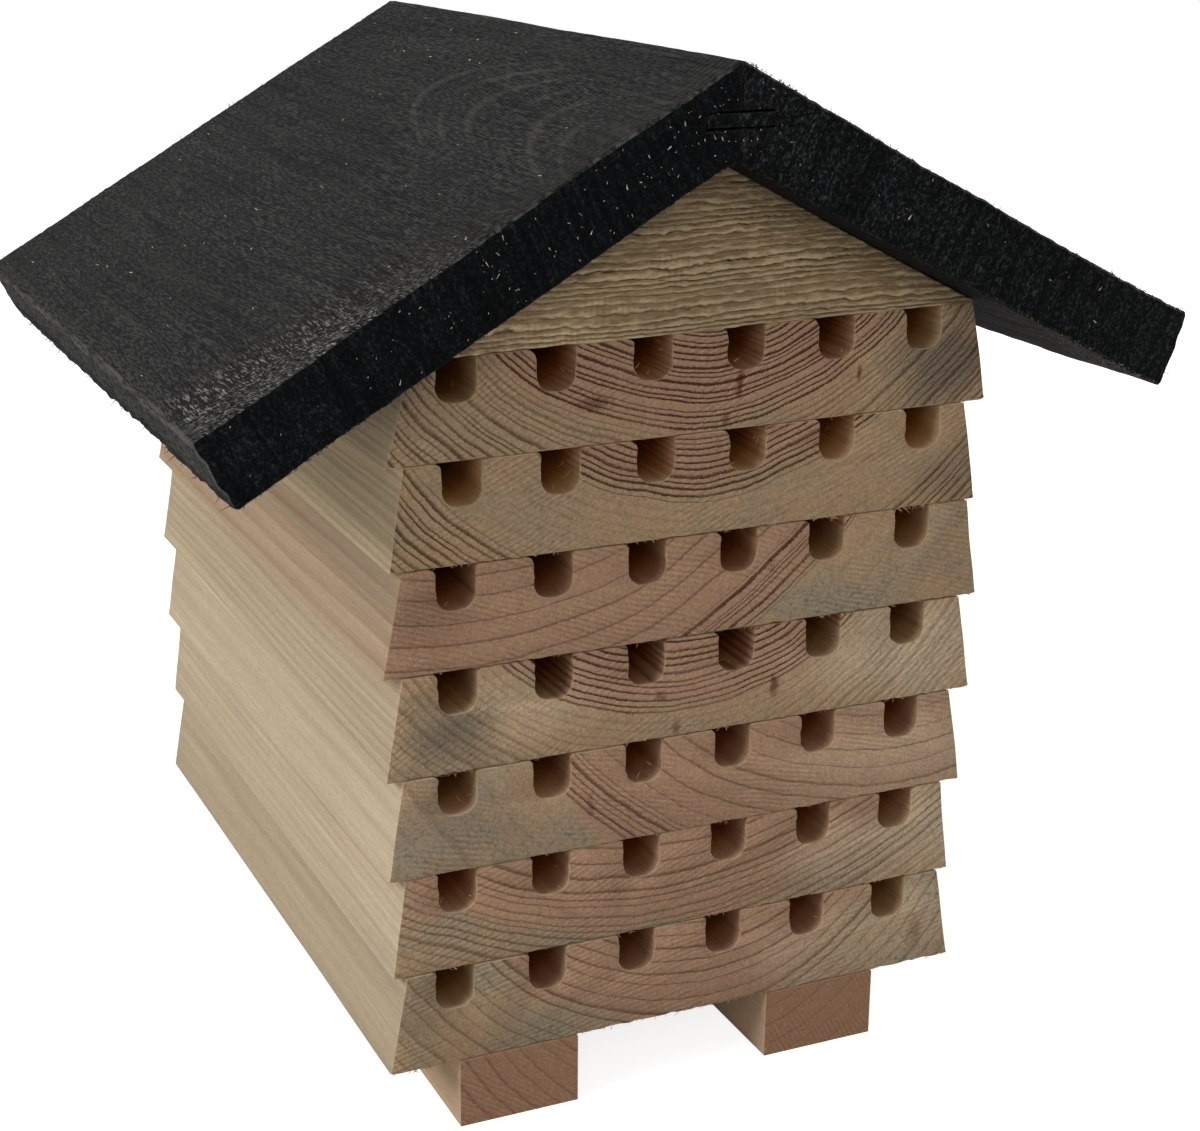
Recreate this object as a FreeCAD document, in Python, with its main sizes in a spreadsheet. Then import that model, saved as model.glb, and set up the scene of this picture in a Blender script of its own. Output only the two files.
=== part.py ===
import FreeCAD, Part
import os
import re
import Sketcher

# A bee hotel: seven grooved nesting trays stacked on two feet, under a lift-off gable roof.
# Millimetres and degrees. +Z is up, -Y is the front, and the origin is on the ground,
# under the middle of the roof.

TRAY_COUNT = 7
CHANNEL_COUNT = 6

SIZES = {
    # Trays, each wider at its underside than at its top
    "tray_depth": 172,
    "tray_thickness": 21,
    "tray_base_width": 130,
    "tray_top_width": 123,
    # Nesting channels, cut from the front into the top face
    "channel_width": 8,
    "channel_depth": 9,
    "channel_pitch": 20,
    "channel_end_wall": 16,
    "mouth_round": 1,
    # Dowels glued into one piece and loose in the piece above it
    "dowel_diameter": 6,
    "dowel_length": 15,
    "dowel_bedding": 8,
    "dowel_end_distance": 40,
    "dowel_chamfer": 0.8,
    "dowel_clearance": 0.3,
    "dowel_end_gap": 1,
    "glue_gap": 0.1,
    # Feet, at unequal distances from the sides of the lowest tray
    "foot_width": 26,
    "foot_height": 15,
    "foot_left_inset": 14,
    "foot_right_inset": 20,
    # Screws that hold the feet
    "screw_shank": 3.5,
    "screw_head": 7,
    "screw_head_height": 2.5,
    "screw_recess": 1,
    "screw_clearance": 0.5,
    "screw_end_distance": 25,
    "screw_tip_cover": 4,
    # Roof
    "roof_pitch": 28.7,
    "roof_thickness": 15.2,
    "roof_slope_length": 118,
    "roof_front_overhang": 15,
    "roof_back_overhang": 3,
    "gable_thickness": 18,
    "gable_margin": 0.5,
    "ceiling_thickness": 12,
    "ceiling_gap": 0.5,
    # Loose tongue across the ridge mitre
    "spline_width": 14,
    "spline_thickness": 2.4,
    "spline_drop": 9.6,
    "spline_gap": 0.2,
    # Nails through the roof boards into the gables
    "brad_diameter": 1.6,
    "brad_recess": 0.3,
    "brad_bite": 13,
    "brad_tip_cover": 3,
}

doc = FreeCAD.newDocument("bee_hotel")
sheet = doc.addObject("Spreadsheet::Sheet", "Sizes")
for row, (alias, value) in enumerate(SIZES.items(), start=1):
    sheet.set(f"A{row}", alias)
    sheet.set(f"B{row}", str(value))
    sheet.setAlias(f"B{row}", alias)
doc.recompute()

# Places worked out from the sizes, as expressions
STACK_TOP = f"(foot_height + {TRAY_COUNT} * tray_thickness)"
TRAY_FRONT = "((roof_front_overhang - roof_back_overhang - tray_depth) / 2)"
ROOF_LENGTH = "(tray_depth + roof_front_overhang + roof_back_overhang)"
GABLE_HALF_WIDTH = "(tray_top_width / 2 + gable_margin)"
GABLE_RISE = f"({GABLE_HALF_WIDTH} * tan(roof_pitch))"
GABLE_SLOPE = f"({GABLE_HALF_WIDTH} / cos(roof_pitch))"
RIDGE_HEIGHT = f"({STACK_TOP} + {GABLE_RISE} + roof_thickness / cos(roof_pitch))"
FOOT_LEFT_CENTRE = "(foot_left_inset + foot_width / 2 - tray_base_width / 2)"
FOOT_RIGHT_CENTRE = "(tray_base_width / 2 - foot_right_inset - foot_width / 2)"
DOWEL_PLACES = [("0", "dowel_end_distance"), ("0", "tray_depth - dowel_end_distance")]
SCREW_STATIONS = ["screw_end_distance", "tray_depth - screw_end_distance"]

# Sketch points: a line's start and end, and an arc's or circle's centre
START, END, CENTRE = range(1, 4)
# A sketch's own axes, counted downwards from its origin
HORIZONTAL_AXIS, VERTICAL_AXIS = range(-1, -3, -1)
ORIGIN = HORIZONTAL_AXIS


def size(expression):
    """Value of an expression in the sheet's sizes."""
    return float(sheet.evalExpression(expression))


def bind(thing, prop, expression):
    """Tie a property to an expression in the sheet's sizes."""
    named = re.sub(r"[a-z_]+", lambda m: "Sizes." + m[0] if m[0] in SIZES else m[0], expression)
    thing.setExpression(prop, named)


def new_body(label):
    body = doc.addObject("PartDesign::Body", label)
    body.Label = label
    return body


def place(thing, x="0", y="0", z="0"):
    bind(thing, "Placement.Base.x", x)
    bind(thing, "Placement.Base.y", y)
    bind(thing, "Placement.Base.z", z)


def new_sketch(body, plane_role, name, offset="0"):
    sketch = body.newObject("Sketcher::SketchObject", name)
    plane = next(item for item in body.Origin.OriginFeatures if item.Role == plane_role)
    sketch.AttachmentSupport = (plane, [""])
    sketch.MapMode = "FlatFace"
    bind(sketch, "AttachmentOffset.Base.z", offset)
    return sketch


def fix_size(sketch, kind, items, expression):
    index = sketch.addConstraint(Sketcher.Constraint(kind, *items, size(expression)))
    bind(sketch, f"Constraints[{index}]", expression)


def fix_point(sketch, curve, point, x, y):
    """Hold a point at x, y from the sketch's origin."""
    for kind, axis, expression in (("DistanceX", VERTICAL_AXIS, x), ("DistanceY", HORIZONTAL_AXIS, y)):
        if expression == "0":
            sketch.addConstraint(Sketcher.Constraint("PointOnObject", curve, point, axis))
        else:
            fix_size(sketch, kind, (ORIGIN, START, curve, point), expression)


def add_outline(sketch, points):
    """Closed outline through points given as pairs of expressions."""
    corners = [FreeCAD.Vector(size(x), size(y), 0) for x, y in points]
    lines = []
    for start, end in zip(corners, corners[1:] + corners[:1]):
        lines.append(sketch.addGeometry(Part.LineSegment(start, end)))
    for number, (x, y) in enumerate(points):
        sketch.addConstraint(Sketcher.Constraint("Coincident", lines[number - 1], END, lines[number], START))
        fix_point(sketch, lines[number], START, x, y)


def add_circles(sketch, centres, diameter):
    upward = FreeCAD.Vector(0, 0, 1)
    for x, y in centres:
        centre = FreeCAD.Vector(size(x), size(y), 0)
        circle = sketch.addGeometry(Part.Circle(centre, upward, size(diameter) / 2))
        fix_point(sketch, circle, CENTRE, x, y)
        fix_size(sketch, "Diameter", (circle,), diameter)


def add_arc(sketch, x, y, radius, start_degrees, end_degrees):
    circle = Part.Circle(FreeCAD.Vector(size(x), size(y), 0), FreeCAD.Vector(0, 0, 1), size(radius))
    to_radians = FreeCAD.Units.Quantity("1 deg").getValueAs("rad").Value
    arc = sketch.addGeometry(Part.ArcOfCircle(circle, start_degrees * to_radians, end_degrees * to_radians))
    fix_point(sketch, arc, CENTRE, x, y)
    fix_size(sketch, "Radius", (arc,), radius)
    return arc


def add_line_between(sketch, first, second):
    """Line from an end of one arc to an end of another, each given as (arc, point)."""
    line = sketch.addGeometry(Part.LineSegment(sketch.getPoint(*first), sketch.getPoint(*second)))
    sketch.addConstraint(Sketcher.Constraint("Coincident", *first, line, START))
    sketch.addConstraint(Sketcher.Constraint("Coincident", *second, line, END))


def pad(body, sketch, length, backwards=False):
    feature = body.newObject("PartDesign::Pad", sketch.Name + "_pad")
    feature.Profile = sketch
    feature.Reversed = backwards
    bind(feature, "Length", length)
    return feature


def pocket(body, sketch, length, backwards=False):
    """Cut a sketch into a body, and make sure that it takes material away."""
    doc.recompute()
    before = body.Shape.Volume
    feature = body.newObject("PartDesign::Pocket", sketch.Name + "_pocket")
    feature.Profile = sketch
    feature.Reversed = backwards
    bind(feature, "Length", length)
    doc.recompute()
    if body.Shape.Volume >= before:
        raise RuntimeError(f"{feature.Name} cuts nothing")
    return feature


def boolean_cut(label, base, tool):
    cut = doc.addObject("Part::Cut", label)
    cut.Base = base
    cut.Tool = tool
    cut.Label = label
    return cut


def bar(label, section, length):
    """Piece with one section all along, from the front towards the back."""
    body = new_body(label)
    sketch = new_sketch(body, "XZ_Plane", label + "_section")
    add_outline(sketch, section)
    pad(body, sketch, length, backwards=True)
    return body


def drill(body, name, centres, diameter, depth, from_height="0", upwards=False):
    sketch = new_sketch(body, "XY_Plane", name, offset=from_height)
    add_circles(sketch, centres, diameter)
    pocket(body, sketch, depth, backwards=upwards)


def rods(body, name, centres, diameter, length, from_height="0"):
    sketch = new_sketch(body, "XY_Plane", name, offset=from_height)
    add_circles(sketch, centres, diameter)
    return pad(body, sketch, length)


def cut_channels(body, label):
    """Row of round-bottomed channels with rounded mouth edges, open at the front and the top."""
    sketch = new_sketch(body, "XZ_Plane", label + "_channel")
    first = f"(-{CHANNEL_COUNT - 1} / 2 * channel_pitch)"
    lip = f"{first} {{}} (channel_width / 2 + mouth_round)"
    lip_height = "tray_thickness - mouth_round"
    floor_height = "tray_thickness - channel_depth + channel_width / 2"
    left = add_arc(sketch, lip.format("-"), lip_height, "mouth_round", 0, 90)
    right = add_arc(sketch, lip.format("+"), lip_height, "mouth_round", 90, 180)
    floor = add_arc(sketch, first, floor_height, "channel_width / 2", 180, 360)
    add_line_between(sketch, (left, END), (right, START))
    add_line_between(sketch, (right, END), (floor, END))
    add_line_between(sketch, (floor, START), (left, START))
    for arc, point in ((left, START), (right, END), (floor, START), (floor, END)):
        sketch.addConstraint(Sketcher.Constraint("Horizontal", arc, CENTRE, arc, point))
    for arc, point in ((left, END), (right, START)):
        sketch.addConstraint(Sketcher.Constraint("Vertical", arc, CENTRE, arc, point))
    channel = pocket(body, sketch, "tray_depth - channel_end_wall")
    one_cut = body.Shape.Volume
    row = body.newObject("PartDesign::LinearPattern", label + "_channels")
    row.Originals = [channel]
    row.Direction = (sketch, ["H_Axis"])
    row.Mode = "Spacing"
    row.Occurrences = CHANNEL_COUNT
    bind(row, "Offset", "channel_pitch")
    body.Tip = row
    doc.recompute()
    if body.Shape.Volume >= one_cut:
        raise RuntimeError(f"{row.Name} cuts nothing")


def make_tray(number):
    label = f"tray_{number}"
    is_lowest = number == 1
    section = [
        ("-tray_base_width / 2", "0"),
        ("tray_base_width / 2", "0"),
        ("tray_top_width / 2", "tray_thickness"),
        ("-tray_top_width / 2", "tray_thickness"),
    ]
    body = bar(label + "_blank" if is_lowest else label, section, "tray_depth")
    cut_channels(body, label)
    bedded = "dowel_diameter + 2 * glue_gap"
    drill(body, label + "_dowel_beds", DOWEL_PLACES, bedded, "dowel_bedding", from_height="tray_thickness")
    if not is_lowest:
        drill_loose_dowel_holes(body, label)
    place(body, y=TRAY_FRONT, z=f"foot_height + {number - 1} * tray_thickness")
    return body


def drill_loose_dowel_holes(body, label, front="0"):
    """Holes in an underside that drop over the dowels of the tray below."""
    places = [(x, f"{y} - {front}") for x, y in DOWEL_PLACES]
    loose = "dowel_diameter + 2 * dowel_clearance"
    depth = "dowel_length - dowel_bedding + dowel_end_gap"
    drill(body, label + "_dowel_holes", places, loose, depth, upwards=True)


def make_dowels(number):
    """Pair of dowels with chamfered ends, standing on the floors of their beds."""
    label = f"dowels_{number}"
    body = new_body(label)
    shaft = rods(body, label + "_section", DOWEL_PLACES, "dowel_diameter", "dowel_length")
    doc.recompute()
    rims = [f"Edge{i}" for i, edge in enumerate(shaft.Shape.Edges, start=1) if edge.isClosed()]
    ends = body.newObject("PartDesign::Chamfer", label + "_chamfers")
    ends.Base = (shaft, rims)
    bind(ends, "Size", "dowel_chamfer")
    place(body, y=TRAY_FRONT, z=f"foot_height + {number} * tray_thickness - dowel_bedding")
    return body


def make_foot(label, centre):
    section = [
        ("-foot_width / 2", "0"),
        ("foot_width / 2", "0"),
        ("foot_width / 2", "foot_height"),
        ("-foot_width / 2", "foot_height"),
    ]
    body = bar(label, section, "tray_depth")
    stations = [("0", station) for station in SCREW_STATIONS]
    shank_hole = "screw_shank + 2 * screw_clearance"
    head_hole = "screw_head + 2 * screw_clearance"
    drill(body, label + "_shank_holes", stations, shank_hole, "foot_height", upwards=True)
    head_depth = "screw_recess + screw_head_height"
    drill(body, label + "_head_holes", stations, head_hole, head_depth, upwards=True)
    place(body, x=centre, y=TRAY_FRONT)
    return body


def make_foot_screws():
    """Pan-head screws up through both feet, ending below the lowest tray's channels."""
    body = new_body("foot_screws")
    places = [(centre, y) for centre in (FOOT_LEFT_CENTRE, FOOT_RIGHT_CENTRE) for y in SCREW_STATIONS]
    reach = "foot_height + tray_thickness - channel_depth - screw_tip_cover - screw_recess"
    rods(body, "screw_shanks", places, "screw_shank", reach)
    rods(body, "screw_heads", places, "screw_head", "screw_head_height")
    place(body, y=TRAY_FRONT, z="screw_recess")
    return body


def make_roof_board(side, sign):
    """Roof board, drawn flat from the ridge to the eave and then tilted to the pitch."""
    section = [
        ("0", "0"),
        (f"{sign} roof_slope_length", "0"),
        (f"{sign} roof_slope_length", "-roof_thickness"),
        (f"{sign} roof_thickness * tan(roof_pitch)", "-roof_thickness"),
    ]
    body = bar(f"roof_board_{side}_blank", section, ROOF_LENGTH)
    tilt_to_roof(body, sign)
    return body


def tilt_to_roof(body, sign):
    turn_axis = FreeCAD.Vector(0, 1 if sign == "+" else -1, 0)
    body.Placement = FreeCAD.Placement(FreeCAD.Vector(), FreeCAD.Rotation(turn_axis, size("roof_pitch")))
    bind(body, "Placement.Rotation.Angle", "roof_pitch")
    place(body, y=f"-{ROOF_LENGTH} / 2", z=RIDGE_HEIGHT)


def make_roof_brads(side, sign):
    """Nails square to a roof board, two into each gable, with their tips inside it."""
    label = f"roof_brads_{side}"
    body = new_body(label)
    inner_ridge = "roof_thickness * tan(roof_pitch)"
    low = f"({GABLE_SLOPE} - (brad_bite + brad_tip_cover) / sin(roof_pitch))"
    front_row = "roof_front_overhang + gable_thickness / 2"
    back_row = "roof_front_overhang + tray_depth - gable_thickness / 2"
    places = [
        (f"{sign} ({inner_ridge} + {distance})", row)
        for distance in (low, f"{low} / 2")
        for row in (front_row, back_row)
    ]
    length = "roof_thickness - brad_recess + brad_bite"
    rods(body, label + "_section", places, "brad_diameter", length, from_height=f"-brad_recess - ({length})")
    tilt_to_roof(body, sign)
    return body


def make_gable(label, front):
    section = [
        (f"-{GABLE_HALF_WIDTH}", "0"),
        (GABLE_HALF_WIDTH, "0"),
        ("0", GABLE_RISE),
    ]
    body = bar(label + "_blank", section, "gable_thickness")
    place(body, y=front, z=STACK_TOP)
    return body


def make_ceiling_board():
    """Board between the gables, with its long edges bevelled to the roof's pitch."""
    base_half = f"({GABLE_HALF_WIDTH} - ceiling_gap)"
    top_half = f"({base_half} - ceiling_thickness / tan(roof_pitch))"
    section = [
        (f"-{base_half}", "0"),
        (base_half, "0"),
        (top_half, "ceiling_thickness"),
        (f"-{top_half}", "ceiling_thickness"),
    ]
    body = bar("ceiling_board", section, "tray_depth - 2 * gable_thickness")
    drill_loose_dowel_holes(body, "ceiling_board", front="gable_thickness")
    place(body, y=f"{TRAY_FRONT} + gable_thickness", z=STACK_TOP)
    return body


def make_strip(label, margin, headroom):
    """Flat strip across the ridge mitre, as long as the roof."""
    strip = doc.addObject("Part::Box", label)
    strip.Label = label
    bind(strip, "Length", f"spline_width + 2 * {margin}")
    bind(strip, "Width", ROOF_LENGTH)
    bind(strip, "Height", f"spline_thickness + {headroom}")
    floor = f"{RIDGE_HEIGHT} - spline_drop - spline_thickness"
    place(strip, x=f"-spline_width / 2 - {margin}", y=f"-{ROOF_LENGTH} / 2", z=floor)
    return strip


# Trays, dowels and feet
tray_bodies = [make_tray(number) for number in range(1, TRAY_COUNT + 1)]
dowel_pairs = [make_dowels(number) for number in range(1, TRAY_COUNT + 1)]
foot_left = make_foot("foot_left", FOOT_LEFT_CENTRE)
foot_right = make_foot("foot_right", FOOT_RIGHT_CENTRE)
foot_screws = make_foot_screws()
tray_1 = boolean_cut("tray_1", tray_bodies[0], foot_screws)

# Roof
ridge_spline = make_strip("ridge_spline", margin="0", headroom="0")
ridge_slot = make_strip("ridge_slot", margin="spline_gap", headroom="spline_gap")
brads = {}
roof_boards = []
for side, sign in (("left", "-"), ("right", "+")):
    brads[side] = make_roof_brads(side, sign)
    slotted = boolean_cut(f"roof_board_{side}_slotted", make_roof_board(side, sign), ridge_slot)
    roof_boards.append(boolean_cut(f"roof_board_{side}", slotted, brads[side]))
gables = []
for label, front in (
    ("gable_front", TRAY_FRONT),
    ("gable_back", f"{TRAY_FRONT} + tray_depth - gable_thickness"),
):
    nailed_left = boolean_cut(f"{label}_nailed_left", make_gable(label, front), brads["left"])
    gables.append(boolean_cut(label, nailed_left, brads["right"]))
ceiling_board = make_ceiling_board()

doc.recompute()

sub_parts = [tray_1, *tray_bodies[1:], *dowel_pairs, foot_left, foot_right, foot_screws]
sub_parts += [*roof_boards, ridge_spline, *gables, ceiling_board, *brads.values()]

for item in doc.Objects:
    if {"Invalid", "Error"} & set(item.State):
        raise RuntimeError(f"{item.Label} failed: {item.State}")
for part in sub_parts:
    if part.Shape.isNull() or not part.Shape.isValid():
        raise RuntimeError(f"{part.Label} has no valid shape")

os.makedirs("parts", exist_ok=True)
for part in sub_parts:
    part.Shape.exportStep(f"parts/{part.Label}.step")
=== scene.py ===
"""A bee hotel: seven stacked nesting trays under a black-stained gable roof, dressed for rendering."""

import math
import random

import bpy
import numpy as np
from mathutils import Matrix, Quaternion, Vector, noise


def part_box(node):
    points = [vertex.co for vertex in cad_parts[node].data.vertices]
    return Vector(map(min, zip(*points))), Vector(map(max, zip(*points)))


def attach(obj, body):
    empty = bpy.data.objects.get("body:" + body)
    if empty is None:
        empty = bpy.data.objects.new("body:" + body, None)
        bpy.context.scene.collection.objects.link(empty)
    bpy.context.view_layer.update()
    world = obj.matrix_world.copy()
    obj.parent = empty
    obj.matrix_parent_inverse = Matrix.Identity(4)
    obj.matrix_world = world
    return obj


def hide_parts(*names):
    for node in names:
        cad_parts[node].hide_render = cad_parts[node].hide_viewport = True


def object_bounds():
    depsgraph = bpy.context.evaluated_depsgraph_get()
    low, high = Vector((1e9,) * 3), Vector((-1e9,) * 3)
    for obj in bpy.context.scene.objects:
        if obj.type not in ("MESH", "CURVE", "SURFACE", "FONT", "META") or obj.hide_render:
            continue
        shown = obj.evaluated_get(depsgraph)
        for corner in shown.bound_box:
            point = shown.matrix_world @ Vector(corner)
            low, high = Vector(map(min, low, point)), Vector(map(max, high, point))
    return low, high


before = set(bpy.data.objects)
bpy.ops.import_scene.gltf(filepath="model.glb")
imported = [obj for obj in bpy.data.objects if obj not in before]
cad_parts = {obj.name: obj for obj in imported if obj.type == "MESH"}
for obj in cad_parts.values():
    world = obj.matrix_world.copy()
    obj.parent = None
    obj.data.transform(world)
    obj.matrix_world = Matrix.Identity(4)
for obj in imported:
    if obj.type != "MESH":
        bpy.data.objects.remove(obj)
cad_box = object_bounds()

# Units: every size below is in millimetres, and MM turns it into Blender's metres
MM = 0.001
FULL_TURN = 2 * math.pi
IMAGE_WIDTH = 1200
SENSOR_WIDTH = 36.0

# The photograph's viewpoint
CAMERA_PLACE = (-194.43, -460.95, 253.93)
CAMERA_AZIMUTH = -24.49
CAMERA_ELEVATION = 18.166
CAMERA_ROLL = 0.467
CAMERA_FOCAL_PIXELS = 2280.5


# Small helpers for shapes

# The largest turn between two points of a rounded corner, and the edge angle from which a bevel is made
ARC_STEP = math.radians(18)
BEVEL_ANGLE = math.radians(40)
# A fibre's thickness along its length, as shares of both, before its tip
SLIVER_TAPER = ((0.0, 1.0), (0.4, 0.8), (0.75, 0.45))


def node_box(name):
    """Lowest and highest corner of a CAD node, in millimetres."""
    low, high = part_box(name)
    return np.array(low) / MM, np.array(high) / MM


def node_points(name):
    """A CAD node's vertices, in millimetres."""
    return np.array([vertex.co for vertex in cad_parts[name].data.vertices]) / MM


def noise_at(points, scales, seed, detail=1):
    """Smooth noise from -1 to 1 at each point, with its own feature size along each axis."""
    offset = Vector((17.3 * seed, 5.1 * seed, 9.7 * seed))
    found = np.empty(len(points))
    for i, point in enumerate(np.asarray(points, float) / np.asarray(scales, float)):
        place = Vector(point) + offset
        found[i] = noise.noise(place)
        if detail > 1:
            found[i] += 0.5 * noise.noise(place * 2.1)
    return found


def smooth_step(low, high, values):
    t = np.clip((np.asarray(values, float) - low) / (high - low), 0, 1)
    return t * t * (3 - 2 * t)


class Luck(random.Random):
    """Seeded chance."""

    def within(self, *ranges):
        """A number from each range in turn. A plain number stands for itself."""
        return tuple(self.uniform(*item) if isinstance(item, tuple) else item for item in ranges)


def add_mesh(name, points, faces, flat_faces=(), attributes=None, sharp_angle=40):
    """A new mesh object from points in millimetres. flat_faces stay flat, with no wear, painted highlight or
    painted shade; the rest are smooth.
    """
    mesh = bpy.data.meshes.new(name)
    all_faces = [tuple(int(i) for i in face) for face in list(faces) + list(flat_faces)]
    mesh.from_pydata((np.asarray(points) * MM).tolist(), [], all_faces)
    mesh.polygons.foreach_set("use_smooth", [True] * len(faces) + [False] * len(flat_faces))
    corners = np.empty(len(mesh.loops), np.int32)
    mesh.loops.foreach_get("vertex_index", corners)
    flat_corners = sum(len(face) for face in flat_faces)
    for label, values in (attributes or {}).items():
        spread = np.asarray(values, np.float32)[corners]
        spread[len(corners) - flat_corners:] *= 0 if label in ("worn", "bore") else 1
        mesh.attributes.new(label, "FLOAT", "CORNER").data.foreach_set("value", spread)
    mesh.update()
    mesh.set_sharp_from_angle(angle=math.radians(sharp_angle))
    made = bpy.data.objects.new(name, mesh)
    bpy.context.scene.collection.objects.link(made)
    return made


def straight(start, end, step):
    """Points from start up to, but not including, end."""
    count = max(1, int(round(np.linalg.norm(end - start) / step)))
    return [start + (end - start) * i / count for i in range(count)]


def outline_of(corners, step):
    """A closed outline through rounded corners of (x, z, radius), with points no more than step apart."""
    total = len(corners)
    arcs = []
    for i, (x, z, radius) in enumerate(corners):
        here = np.array((x, z), float)
        if radius == 0:
            arcs.append([here])
            continue
        before, after = (np.array(corners[j % total][:2], float) - here for j in (i - 1, i + 1))
        before /= np.linalg.norm(before)
        after /= np.linalg.norm(after)
        half = math.acos(np.clip(before @ after, -1, 1)) / 2
        middle = here + (before + after) / np.linalg.norm(before + after) * radius / math.sin(half)
        first, last = (here + way * radius / math.tan(half) - middle for way in (before, after))
        turn = math.atan2(first[0] * last[1] - first[1] * last[0], first @ last)
        count = max(2, int(math.ceil(abs(turn) / ARC_STEP)))
        aside = np.array((-first[1], first[0]))
        angles = [turn * k / count for k in range(count + 1)]
        arcs.append([middle + first * math.cos(angle) + aside * math.sin(angle) for angle in angles])
    points = []
    for i, arc in enumerate(arcs):
        points.extend(arc[:-1])
        points.extend(straight(arc[-1], arcs[(i + 1) % total][0], step))
    return np.array(points)


def inset(outline, amount):
    """The outline moved inwards by amount. It runs counter-clockwise as seen from the front."""
    along = np.roll(outline, -1, axis=0) - np.roll(outline, 1, axis=0)
    along /= np.linalg.norm(along, axis=1)[:, None] + 1e-12
    return outline + amount * np.stack([-along[:, 1], along[:, 0]], axis=1)


def ring_at(outline, y):
    return np.stack([outline[:, 0], np.full(len(outline), y), outline[:, 1]], axis=1)


class Loft:
    """A skin built from rings of points, front to back, with attribute values for each point."""

    def __init__(self, flip=1):
        self.points = []
        self.values = {}
        self.faces = []
        self.rows = []
        self.flip = flip

    def ring(self, points, **values):
        """Adds a ring and joins it to the last one by four-sided faces."""
        row = np.arange(len(self.points), len(self.points) + len(points))[::self.flip]
        if self.rows:
            last = self.rows[-1]
            self.faces.extend(zip(last, row, np.roll(row, -1), np.roll(last, -1)))
        self.rows.append(row)
        self.points.extend(points)
        for label, found in values.items():
            self.values.setdefault(label, []).extend(np.broadcast_to(found, len(points)))


def cut_away(piece, cutter):
    """Takes the cutter's volume out of a piece and deletes the cutter."""
    change = piece.modifiers.new("cut", "BOOLEAN")
    change.operation = "DIFFERENCE"
    change.solver = "EXACT"
    change.object = cutter
    scene_now = bpy.context.evaluated_depsgraph_get()
    mesh = bpy.data.meshes.new_from_object(piece.evaluated_get(scene_now))
    piece.modifiers.remove(change)
    piece.data = mesh
    bpy.data.objects.remove(cutter)


def upright_rods(name, places, radius, low, high, sides=32):
    """Plain rods along Z, used to drill holes."""
    points = []
    faces = []
    for x, y in places:
        under = np.arange(len(points), len(points) + sides)
        over = under + sides
        for z in (low, high):
            for angle in FULL_TURN * np.arange(sides) / sides:
                points.append((x + radius * math.cos(angle), y + radius * math.sin(angle), z))
        faces += [under[::-1], over]
        faces += zip(under, np.roll(under, -1), np.roll(over, -1), over)
    return add_mesh(name, points, [], faces)


class Slivers:
    """Thin torn fibres, each a closed three-sided spike that bends towards its tip."""

    def __init__(self):
        self.points = []
        self.faces = []

    def add(self, root, direction, length, width, bend):
        direction = Vector(direction).normalized()
        across = direction.orthogonal().normalized()
        other = direction.cross(across)
        start = len(self.points)
        self.faces.append((start + 2, start + 1, start))
        for share, size in SLIVER_TAPER:
            middle = Vector(root) + direction * (length * share) + Vector(bend) * share * share
            for k in range(3):
                angle = FULL_TURN * k / 3
                side = across * math.cos(angle) + other * math.sin(angle)
                self.points.append(middle + side * (width * size / 2))
        for low in (start, start + 3):
            for k, j in ((0, 1), (1, 2), (2, 0)):
                self.faces.append((low + k, low + j, low + 3 + j, low + 3 + k))
        tip = len(self.points)
        self.points.append(Vector(root) + direction * length + Vector(bend))
        for k, j in ((3, 2), (2, 1), (1, 3)):
            self.faces.append((tip - k, tip - j, tip))

    def build(self, name):
        low, high = (np.array(tuple(corner)) / MM for corner in cad_box)
        return add_mesh(name, np.clip([tuple(point) for point in self.points], low, high), self.faces)


def dress(piece, material, body, slot, *nodes):
    """Gives a new piece its material and body, and hides the CAD nodes that it stands for. The slot is not
    used.
    """
    piece.data.materials.clear()
    piece.data.materials.append(material)
    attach(piece, body)
    if nodes:
        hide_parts(*nodes)


def dress_node(name, material, bevel=0.0):
    """Gives a CAD node that stays its material, and rounds its edges."""
    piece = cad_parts[name]
    if not piece.material_slots:
        piece.data.materials.append(material)
    for holder in piece.material_slots:
        holder.material = material
    if bevel:
        change = piece.modifiers.new("edges", "BEVEL")
        change.width = bevel * MM
        change.segments = 2
        change.limit_method = "ANGLE"
        change.angle_limit = BEVEL_ANGLE


# Small helpers for materials

def colour(red, green, blue):
    """A colour written as in a picture, 0 to 255, turned into linear light."""
    linear = []
    for part in (red, green, blue):
        share = part / 255
        linear.append(share / 12.92 if share <= 0.04045 else ((share + 0.055) / 1.055) ** 2.4)
    return (*linear, 1.0)


class Value:
    """A value in a material's graph. Numbers can be added, subtracted and multiplied."""

    def __init__(self, graph, socket):
        self.graph = graph
        self.socket = socket

    def __add__(self, other):
        return self.graph.math("ADD", self, other)

    def __mul__(self, other):
        return self.graph.math("MULTIPLY", self, other)

    def __sub__(self, other):
        return self.graph.math("SUBTRACT", self, other)

    def __rsub__(self, other):
        return self.graph.math("SUBTRACT", other, self)

    __radd__ = __add__
    __rmul__ = __mul__


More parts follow.
